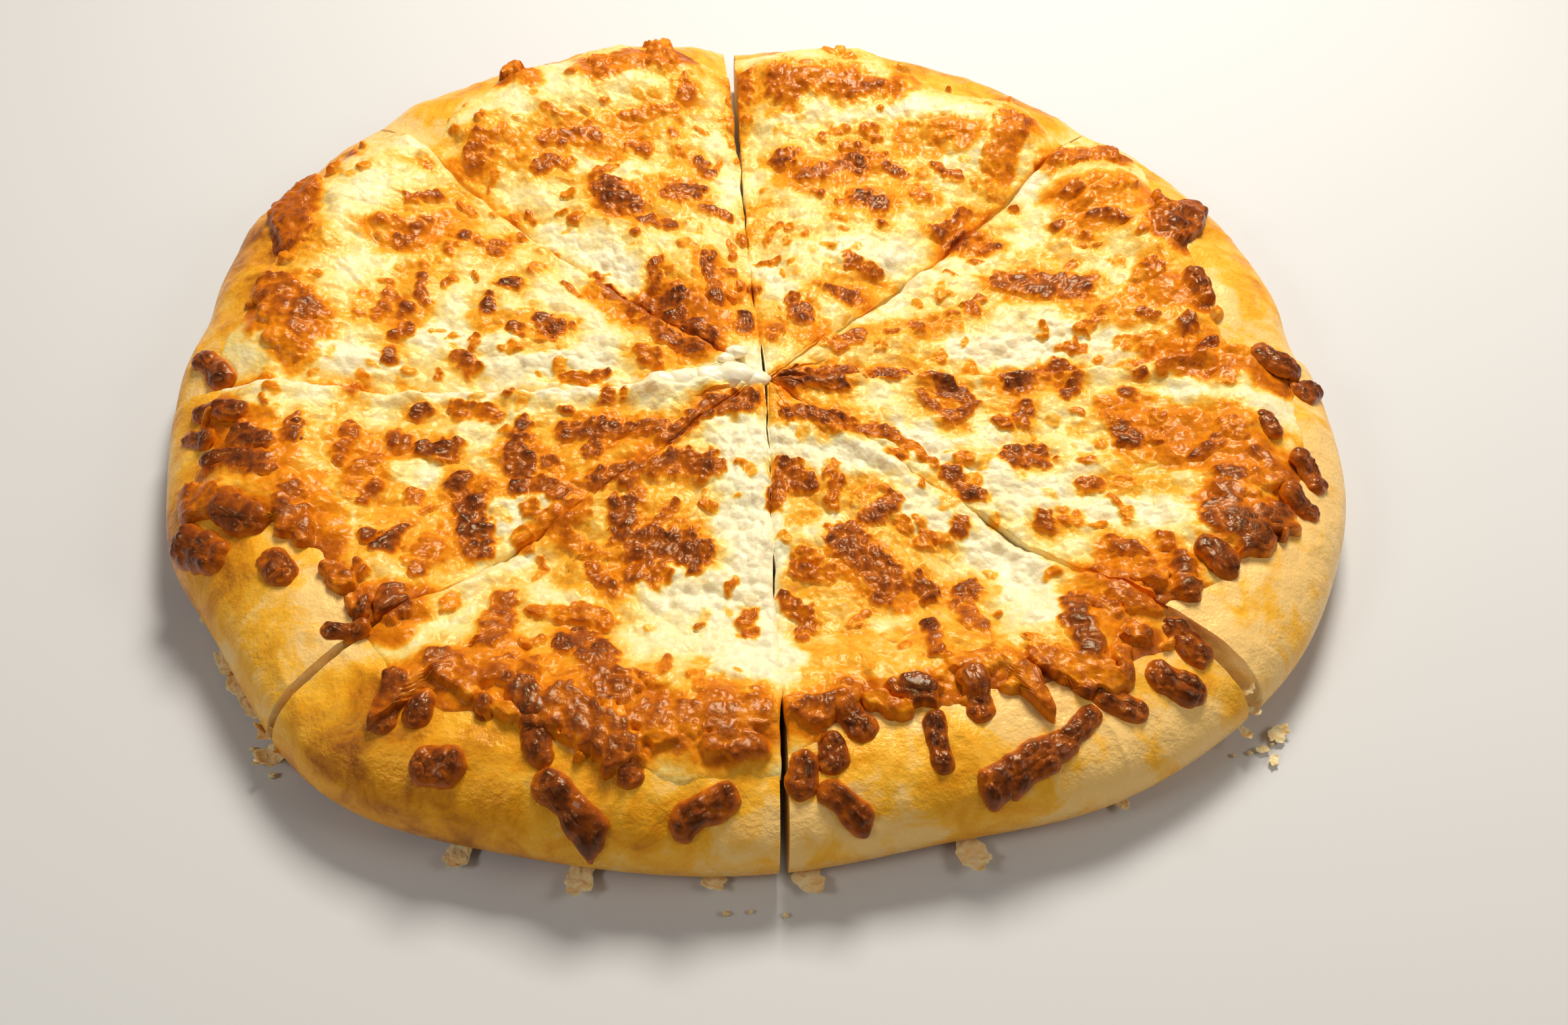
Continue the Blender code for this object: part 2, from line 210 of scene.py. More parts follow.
def slice_sides(number):
    """The angles of a slice's two cuts, the second one larger."""
    first = math.radians(CUT_DEGREES[number])
    last = math.radians(CUT_DEGREES[(number + 1) % len(CUT_DEGREES)])
    if last < first:
        last += 2.0 * math.pi
    return first, last


def slice_apex(number, set_back=0.0):
    """Where the two cut faces would meet: both stand half a gap and the set-back inside the strokes."""
    first, last = slice_sides(number)
    middle = (first + last) / 2.0
    shift = (CUT_GAP / 2.0 + set_back) / math.sin((last - first) / 2.0)
    return CROSSING + shift * np.array((math.cos(middle), math.sin(middle)))


def slice_rays(number, count):
    """Even angles from one cut face to the other, as seen from the apex."""
    first, last = slice_sides(number)
    first += math.radians(CUT_SPREAD_DEGREES[number])
    last -= math.radians(CUT_SPREAD_DEGREES[(number + 1) % len(CUT_DEGREES)])
    return np.linspace(first, last, count)


def reach_to_outline(apex, rays):
    """Length of each ray from the apex to the outline: a guess that is corrected by what it misses."""
    reach = np.full(np.shape(rays), HALF_WIDTH)
    for _ in range(20):
        x = apex[0] + reach * np.cos(rays)
        y = apex[1] + reach * np.sin(rays)
        reach = reach + outline_radius(np.arctan2(y, x)) - np.hypot(x, y)
    return reach


def distance_to_cut(number, distance, ray):
    """How far a point on a ray is from the nearer cut face."""
    first, last = slice_sides(number)
    return distance * np.sin(np.minimum(np.abs(ray - first), np.abs(last - ray)))


def crust_height(number, inset, distance, ray):
    """Top of the dough, from the inset to the outline, the distance to the apex and the angle of the ray.

    A bell at the crest stands on a level middle that rises at the tip. Outside the crest the height falls to
    the widest line as a superellipse. Both sink towards the cuts, where the slice was pressed down.
    """
    middle = MIDDLE_HEIGHT + CENTRE_RISE * np.exp(-((distance / CENTRE_WIDTH) ** 2))
    fold = FOLD_DEPTH[number] * np.exp(-(((distance - FOLD_DISTANCE) / FOLD_WIDTH) ** 2))
    bell = np.exp(-(((inset - CREST_INSET) / CREST_WIDTH) ** 2))
    inner = middle - fold + (CREST_HEIGHT - middle) * bell
    outward = np.clip((CREST_INSET - inset) / CREST_INSET, 0.0, 1.0)
    shoulder = (1.0 - outward**SHOULDER_POWER) ** SHOULDER_ROUND
    outer = WIDEST_HEIGHT + (CREST_HEIGHT - WIDEST_HEIGHT) * shoulder
    sink = np.exp(-((distance_to_cut(number, distance, ray) / SINK_WIDTH) ** 2))
    sink = SINK_AT_CUT[number] * sink * smooth(distance / SINK_START)
    top = np.where(inset > CREST_INSET, inner, outer)
    return top + (SLICE_LIFT[number] - sink) * np.where(inset > CREST_INSET, 1.0, shoulder)


def crust_puff(x, y):
    """Slow swellings of the baked skin, a few sharp folds, and short wrinkles on them."""
    fold = np.exp(-np.abs(swell(x + 0.3 * y, y, 0.026, 14)) / 0.10)
    return CRUST_PUFF * (layered(x, y, 0.024, 11) + 0.6 * fold) + CRUST_WRINKLE * layered(x, y, 0.0035, 17)


def crust_at(number, x, y):
    """Top of the dough at points of the plan, with its swellings."""
    apex = slice_apex(number)
    ray = np.arctan2(y - apex[1], x - apex[0])
    ray = np.where(ray < slice_sides(number)[0] - 0.2, ray + 2.0 * math.pi, ray)
    distance = np.hypot(x - apex[0], y - apex[1])
    inset = reach_to_outline(apex, ray) - distance
    return crust_height(number, inset, distance, ray) + crust_puff(x, y) * smooth(inset / 0.004)


def add_piece(name, points, faces, material, sharp_degrees=50.0, **attributes):
    """A mesh object with its faces turned out, smooth except at sharp edges, with values on its points."""
    points = points - np.array(BOX_MIDDLE)
    mesh = bpy.data.meshes.new(name)
    mesh.from_pydata(points, [], faces)
    for label, values in attributes.items():
        layer = mesh.attributes.new(label, "FLOAT", "POINT")
        layer.data.foreach_set("value", np.ascontiguousarray(values, np.float32).ravel())
    mesh.materials.append(material)
    mesh.update()
    mesh.calc_loop_triangles()
    corners = np.empty(len(mesh.loop_triangles) * 3, np.int32)
    mesh.loop_triangles.foreach_get("vertices", corners)
    a, b, c = points[corners.reshape(-1, 3)].transpose(1, 0, 2)
    if np.sum(a * np.cross(b, c)) < 0.0:
        mesh.flip_normals()
    mesh.shade_smooth()
    mesh.set_sharp_from_angle(angle=math.radians(sharp_degrees))
    piece = bpy.data.objects.new(name, mesh)
    bpy.context.scene.collection.objects.link(piece)
    return piece


def ring_faces(rings, around):
    """Quads between neighbouring closed rings of equal count."""
    corner = np.arange(rings * around).reshape(rings, around)
    beside = np.roll(corner, -1, axis=1)
    return np.stack([corner[:-1], beside[:-1], beside[1:], corner[1:]], axis=-1).reshape(-1, 4)


class Finish:
    """A material's node tree, written as nested calls: each method adds one node and gives its output."""

    def __init__(self, name):
        self.material = bpy.data.materials.new(name)
        self.material.use_nodes = True
        self.tree = self.material.node_tree
        self.shader = self.tree.nodes["Principled BSDF"]
        self.place = self.add("ShaderNodeTexCoord").outputs["Object"]

    def add(self, kind, **settings):
        node = self.tree.nodes.new(kind)
        for label, value in settings.items():
            setattr(node, label, value)
        return node

    def feed(self, socket, value):
        """Links an output to a socket, or sets a plain value on it."""
        if isinstance(value, bpy.types.NodeSocket):
            self.tree.links.new(value, socket)
        elif isinstance(value, tuple) and len(value) == 3 and socket.type == "RGBA":
            socket.default_value = (*value, 1.0)
        else:
            socket.default_value = value

    def read(self, label):
        return self.add("ShaderNodeAttribute", attribute_name=label).outputs["Fac"]

    def noise(self, size_m, detail=3.0, roughness=0.55, distortion=0.0):
        node = self.add("ShaderNodeTexNoise")
        self.feed(node.inputs["Vector"], self.place)
        node.inputs["Scale"].default_value = 1.0 / size_m
        node.inputs["Detail"].default_value = detail
        node.inputs["Roughness"].default_value = roughness
        node.inputs["Distortion"].default_value = distortion
        return node.outputs["Fac"]

    def cells(self, size_m):
        node = self.add("ShaderNodeTexVoronoi")
        self.feed(node.inputs["Vector"], self.place)
        node.inputs["Scale"].default_value = 1.0 / size_m
        return node.outputs["Distance"]

    def math(self, operation, first, second=0.0):
        node = self.add("ShaderNodeMath", operation=operation)
        self.feed(node.inputs[0], first)
        self.feed(node.inputs[1], second)
        return node.outputs[0]

    def spread(self, value, low, high, new_low=0.0, new_high=1.0):
        """Maps low..high to new_low..new_high, held at both ends."""
        node = self.add("ShaderNodeMapRange")
        self.feed(node.inputs["Value"], value)
        limits = {"From Min": low, "From Max": high, "To Min": new_low, "To Max": new_high}
        for label, number in limits.items():
            node.inputs[label].default_value = number
        return node.outputs["Result"]

    def ramp(self, value, stops):
        node = self.add("ShaderNodeValToRGB")
        self.feed(node.inputs["Fac"], value)
        band = node.color_ramp
        while len(band.elements) < len(stops):
            band.elements.new(0.5)
        for element, (position, colour) in zip(band.elements, stops):
            element.position = position
            element.color = (*colour, 1.0)
        return node.outputs["Color"]

    def mix(self, share, first, second):
        node = self.add("ShaderNodeMix", data_type="RGBA")
        self.feed(node.inputs["Factor"], share)
        self.feed(node.inputs[6], first)
        self.feed(node.inputs[7], second)
        return node.outputs[2]

    def bump(self, height, strength, depth_m):
        node = self.add("ShaderNodeBump")
        node.inputs["Strength"].default_value = strength
        node.inputs["Distance"].default_value = depth_m
        self.feed(node.inputs["Height"], height)
        self.tree.links.new(node.outputs["Normal"], self.shader.inputs["Normal"])

    def set(self, **values):
        for label, value in values.items():
            self.feed(self.shader.inputs[label.replace("_", " ")], value)
        return self.material


CRUMB_PALE = (0.95, 0.60, 0.20)
GOLD_PALE = (0.94, 0.470, 0.036)
GOLD = (0.84, 0.345, 0.012)
GOLD_DEEP = (0.56, 0.190, 0.008)
BAKED_BROWN = (0.29, 0.072, 0.005)
OILY_TINT = (1.0, 0.70, 0.26)

crust = Finish("crust")
bake = crust.read("bake")
bake = crust.math("ADD", bake, crust.spread(crust.noise(0.011, 5.0, 0.6, 0.6), 0.3, 0.7, -0.36, 0.36))
bake = crust.math("ADD", bake, crust.spread(crust.noise(0.0022, 3.0), 0.3, 0.7, -0.05, 0.05))
skin = crust.ramp(bake, (
    (0.00, CRUMB_PALE), (0.25, GOLD_PALE), (0.52, GOLD), (0.78, GOLD_DEEP), (1.00, BAKED_BROWN),
))
grain = crust.math("ADD", crust.math("MULTIPLY", crust.noise(0.0009, 3.0), 0.45), crust.noise(0.006, 5.0))
crust.bump(grain, 0.65, 0.0009)
crust.set(
    Base_Color=skin,
    Roughness=crust.spread(crust.noise(0.006, 3.0), 0.3, 0.7, 0.20, 0.46),
    Specular_IOR_Level=0.46,
    Specular_Tint=OILY_TINT,
    Subsurface_Weight=0.06,
    Subsurface_Scale=0.002,
)


def crumb_finish(name, pale, warm):
    """Torn bread: two close colours in patches, with open pores and a fine rough grain."""
    torn = Finish(name)
    torn.bump(torn.math("ADD", torn.cells(0.0024), torn.noise(0.0011, 4.0)), 0.6, 0.0009)
    torn.set(
        Base_Color=torn.mix(torn.spread(torn.noise(0.004), 0.35, 0.65), pale, warm),
        Roughness=0.7,
        Subsurface_Weight=0.20,
        Subsurface_Scale=0.003,
    )
    return torn


crumb = crumb_finish("crumb", (0.97, 0.74, 0.36), (0.95, 0.61, 0.20))


def make_dough(number):
    """One closed loop carried over the rays: base, undercut, rim, and the top, sunk a little under the sheet.

    Along each ray the loop runs from the tip under the base to the outline, up the rim and back over the top.
    """
    apex = slice_apex(number, DOUGH_SET_BACK)
    rays = slice_rays(number, DOUGH_RAYS)
    reach = reach_to_outline(apex, rays)
    tip = TIP_CUT_OFF
    rows = []
    baked = []

    def add_row(distance, height, bake_value):
        x = apex[0] + distance * np.cos(rays)
        y = apex[1] + distance * np.sin(rays)
        rows.append(np.stack([x, y, np.broadcast_to(height, x.shape)], axis=-1))
        baked.append(np.broadcast_to(bake_value, x.shape))

    def bumps(distance):
        x = apex[0] + distance * np.cos(rays)
        y = apex[1] + distance * np.sin(rays)
        return crust_puff(x, y)

    for share in (0.0, 0.35, 0.7, 0.92):
        add_row(tip + (reach - UNDERCUT - tip) * share, 0.0, BAKED_BASE)
    for step in range(UNDER_ROWS, 0, -1):
        turn = math.pi / 2.0 * step / UNDER_ROWS
        inset = UNDERCUT * (1.0 - math.cos(turn))
        bake_value = BAKED_SIDE + BAKED_BASE * (step / UNDER_ROWS)
        add_row(reach - inset, WIDEST_HEIGHT * (1.0 - math.sin(turn)), bake_value)
    bare_insets = BARE_FROM_OUTLINE * np.linspace(0.0, 1.0, BARE_ROWS) ** 1.7
    for inset in bare_insets:
        top = crust_height(number, inset, reach - inset, rays)
        value = BAKED_SIDE + 0.04 * smooth(inset / 0.012) - 0.20 * smooth((inset - 0.012) / 0.014)
        add_row(reach - inset, top + bumps(reach - inset) * smooth(inset / 0.004), value)
    for share in np.linspace(0.0, 1.0, COVERED_ROWS)[1:]:
        distance = (reach - BARE_FROM_OUTLINE) * (1.0 - share) + tip * share
        top = crust_height(number, reach - distance, distance, rays)
        add_row(distance, top - UNDER_SHEET, BAKED_COVERED)
    loops = np.stack(rows, axis=1)
    steps = loops.shape[1]
    values = np.stack(baked, axis=1)
    blotch = layered(loops[..., 0] + loops[..., 2], loops[..., 1], BLOTCH_SIZE, 23)
    from_tip = np.hypot(loops[..., 0] - apex[0], loops[..., 1] - apex[1])
    to_cut = distance_to_cut(number, from_tip, rays[:, None])
    values = values + BLOTCHES * blotch - BAKED_LEFT * loops[..., 0] + BAKED[number] - 0.06
    values = values - PALER_AT_CUT * np.exp(-((to_cut / PALER_WIDTH) ** 2))
    for x, y, wide, paler in PALE_PLACES:
        values = values - paler * np.exp(-(((loops[..., 0] - x) ** 2 + (loops[..., 1] - y) ** 2) / wide**2))
    faces = ring_faces(DOUGH_RAYS, steps).tolist()
    ends = [list(range(steps)), list(range((DOUGH_RAYS - 1) * steps, DOUGH_RAYS * steps))[::-1]]
    dough = add_piece(f"dough_{number + 1}", loops.reshape(-1, 3), faces + ends, crust.material, bake=values)
    dough.data.materials.append(crumb.material)
    for end in (-1, -2):
        dough.data.polygons[end].material_index = 1
    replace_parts(dough, f"bread_{number + 1}")
    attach(dough, "root")


for number in SLICES:
    make_dough(number)

# The curd: a layer of white brined cheese, crumbled and baked inside the dough. It shows along the cuts as a
# broken white line, and a few lumps of it have worked out where the cuts cross.
CURD_FLOOR = 0.30
CURD_ROOF = 0.72
CURD_INSET = 0.048
CURD_ROWS = 150
CURD_SIDE_POINTS = 9
CURD_PROUD = 0.0004
CURD_ROUGH = 0.0004
# Lumps of curd where the cuts cross: x, y, z and size. Each is longer than it is wide, and lower
LUMP_SHAPE = (1.15, 0.8, 0.62)
LUMP_ROUGHNESS = 0.12
LUMPS = (
    (-0.0062, -0.0122, 0.0190, 0.0048), (-0.0012, -0.0130, 0.0186, 0.0034),
    (-0.0122, -0.0130, 0.0186, 0.0046), (-0.0182, -0.0134, 0.0182, 0.0044),
    (-0.0244, -0.0138, 0.0178, 0.0040), (-0.0060, -0.0040, 0.0194, 0.0024),
    (-0.0084, -0.0060, 0.0190, 0.0020),
)

curd = Finish("curd")
curd.bump(curd.math("ADD", curd.cells(0.0026), curd.noise(0.0012, 3.0)), 0.2, 0.0005)
curd.set(
    Base_Color=curd.mix(curd.spread(curd.noise(0.003), 0.35, 0.65), (0.97, 0.88, 0.64), (0.95, 0.82, 0.52)),
    Roughness=0.38,
    Subsurface_Weight=0.12,
    Subsurface_Scale=0.002,
)


def make_curd(number):
    """Rings across the slice from the tip outwards: up one cut face, over the roof, down the other, back."""
    apex = slice_apex(number, DOUGH_SET_BACK)
    rays = slice_rays(number, 2)
    reach = reach_to_outline(apex, rays)
    rows = []
    for side, ray in enumerate(rays):
        far = reach[side] - CURD_INSET
        along = TIP_CUT_OFF + 0.001 + (far - TIP_CUT_OFF) * np.linspace(0.0, 1.0, CURD_ROWS)
        top = crust_height(number, reach[side] - along, along, ray)
        share = np.linspace(CURD_FLOOR, CURD_ROOF, CURD_SIDE_POINTS)
        height = top[:, None] * share
        crumbs = domes(along[:, None] + 0 * height, height, 0.0022, 40 + 7 * number + side)
        taper = np.sin(np.pi * np.clip((share - CURD_FLOOR) / (CURD_ROOF - CURD_FLOOR), 0.0, 1.0)) ** 0.5
        proud = (CURD_PROUD + CURD_ROUGH * crumbs) * taper * (1.0 if side else -1.0)
        x = apex[0] + along[:, None] * math.cos(ray) - proud * math.sin(ray)
        y = apex[1] + along[:, None] * math.sin(ray) + proud * math.cos(ray)
        face = np.stack([x, y, height], axis=-1)
        rows.append(face if side == 0 else face[:, ::-1])
    rings = np.concatenate(rows, axis=1)
    around = rings.shape[1]
    faces = ring_faces(CURD_ROWS, around).tolist()
    ends = [list(range(around)), list(range((CURD_ROWS - 1) * around, CURD_ROWS * around))[::-1]]
    layer = add_piece(f"curd_layer_{number + 1}", rings.reshape(-1, 3), faces + ends, curd.material)
    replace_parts(layer, f"curd_{number + 1}")
    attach(layer, "root")


for number in SLICES:
    make_curd(number)


def ball(middle, radii, seed, roughness, rings=18, around=28):
    """An uneven ball: rings of latitude, each point pushed in or out by swells over its own direction."""
    latitude = np.linspace(0.0, math.pi, rings)[:, None]
    longitude = np.arange(around)[None, :] * 2.0 * math.pi / around
    direction = np.stack([
        np.sin(latitude) * np.cos(longitude),
        np.sin(latitude) * np.sin(longitude),
        np.cos(latitude) + 0.0 * longitude,
    ], axis=-1)
    push = 1.0 + roughness * layered(direction[..., 0] + direction[..., 2], direction[..., 1], 0.7, seed)
    push[0] = push[0].mean()
    push[-1] = push[-1].mean()
    return np.asarray(middle) + direction * push[..., None] * np.asarray(radii)


def join_shells(shells):
    """Points and faces of many shells of rings, as one mesh. One face closes each end ring."""
    points = []
    faces = []
    start = 0
    for shell in shells:
        rings, around = shell.shape[:2]
        points.append(shell.reshape(-1, 3))
        faces += (ring_faces(rings, around) + start).tolist()
        faces.append(list(range(start, start + around)))
        last = start + (rings - 1) * around
        faces.append(list(range(last, last + around))[::-1])
        start += rings * around
    return np.concatenate(points), faces


lumps = [
    ball((x, y, z), [size * side for side in LUMP_SHAPE], 60 + index, LUMP_ROUGHNESS)[1:-1]
    for index, (x, y, z, size) in enumerate(LUMPS)
]
curd_lumps = add_piece("curd_lumps", *join_shells(lumps), curd.material)
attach(curd_lumps, "root")

# The melted sheet: grated cheese that ran together over the dough. It is creamy and lumpy where it is thick,
# and each shred near the heat browned in its own shape, with an orange halo and a skin of small blisters.
SHEET_INSETS = (
    (0.0225, 0.0245, 0.0230, 0.0185, 0.0090, 0.0080),
    (0.0160, 0.0140, 0.0225, 0.0110, 0.0090, 0.0100),
    (0.0230, 0.0110, 0.0090, 0.0110, 0.0200, 0.0260),
    (0.0080, 0.0080, 0.0085, 0.0155, 0.0120, 0.0100),
    (0.0130, 0.0100, 0.0080, 0.0250, 0.0275, 0.0235),
    (0.0245, 0.0205, 0.0215, 0.0165, 0.0125, 0.0145),
    (0.0170, 0.0260, 0.0220, 0.0250, 0.0200, 0.0175),
    (0.0270, 0.0210, 0.0150, 0.0130, 0.0130, 0.0070),
)
CLOSEST_TO_OUTLINE = 0.0045
SHEET_THICKNESS = 0.0024
SHEET_RAYS = 230
SHEET_ROWS = 300
LIP = 0.0014
EDGE_DIP = 0.0005
LEANS_OVER_CUT = (
    (0.0, 0.0), (0.0, 0.0008), (0.0008, 0.0), (0.0, 0.0), (0.0, 0.0006), (0.0008, 0.0006), (0.0006, 0.0014),
    (0.0008, 0.0),
)
CUT_ROLL = (
    (0.0, 0.0010), (0.0, 0.0), (0.0, 0.0), (0.0013, 0.0), (0.0018, 0.0), (0.0013, 0.0005), (0.0005, 0.0014),
    (0.0, 0.0016),
)
EDGE_HEAT = 0.16
RIM_HEAVE = 0.0014
BACK_SWELL = 0.0014
# Browning and painted shade along each slice's first and second cut: where a slice lies lower at a step, the
# added colour is painted shade as well as its own browned spots; negative values leave a raised edge paler
CUT_BROWNING_AND_SHADE = (
    (0.30, -0.04), (0.16, 0.10), (0.05, 0.16), (-0.05, 0.34), (-0.10, 0.12), (0.0, -0.10), (-0.06, 0.0),
    (0.12, -0.08),
)
MM = 0.001

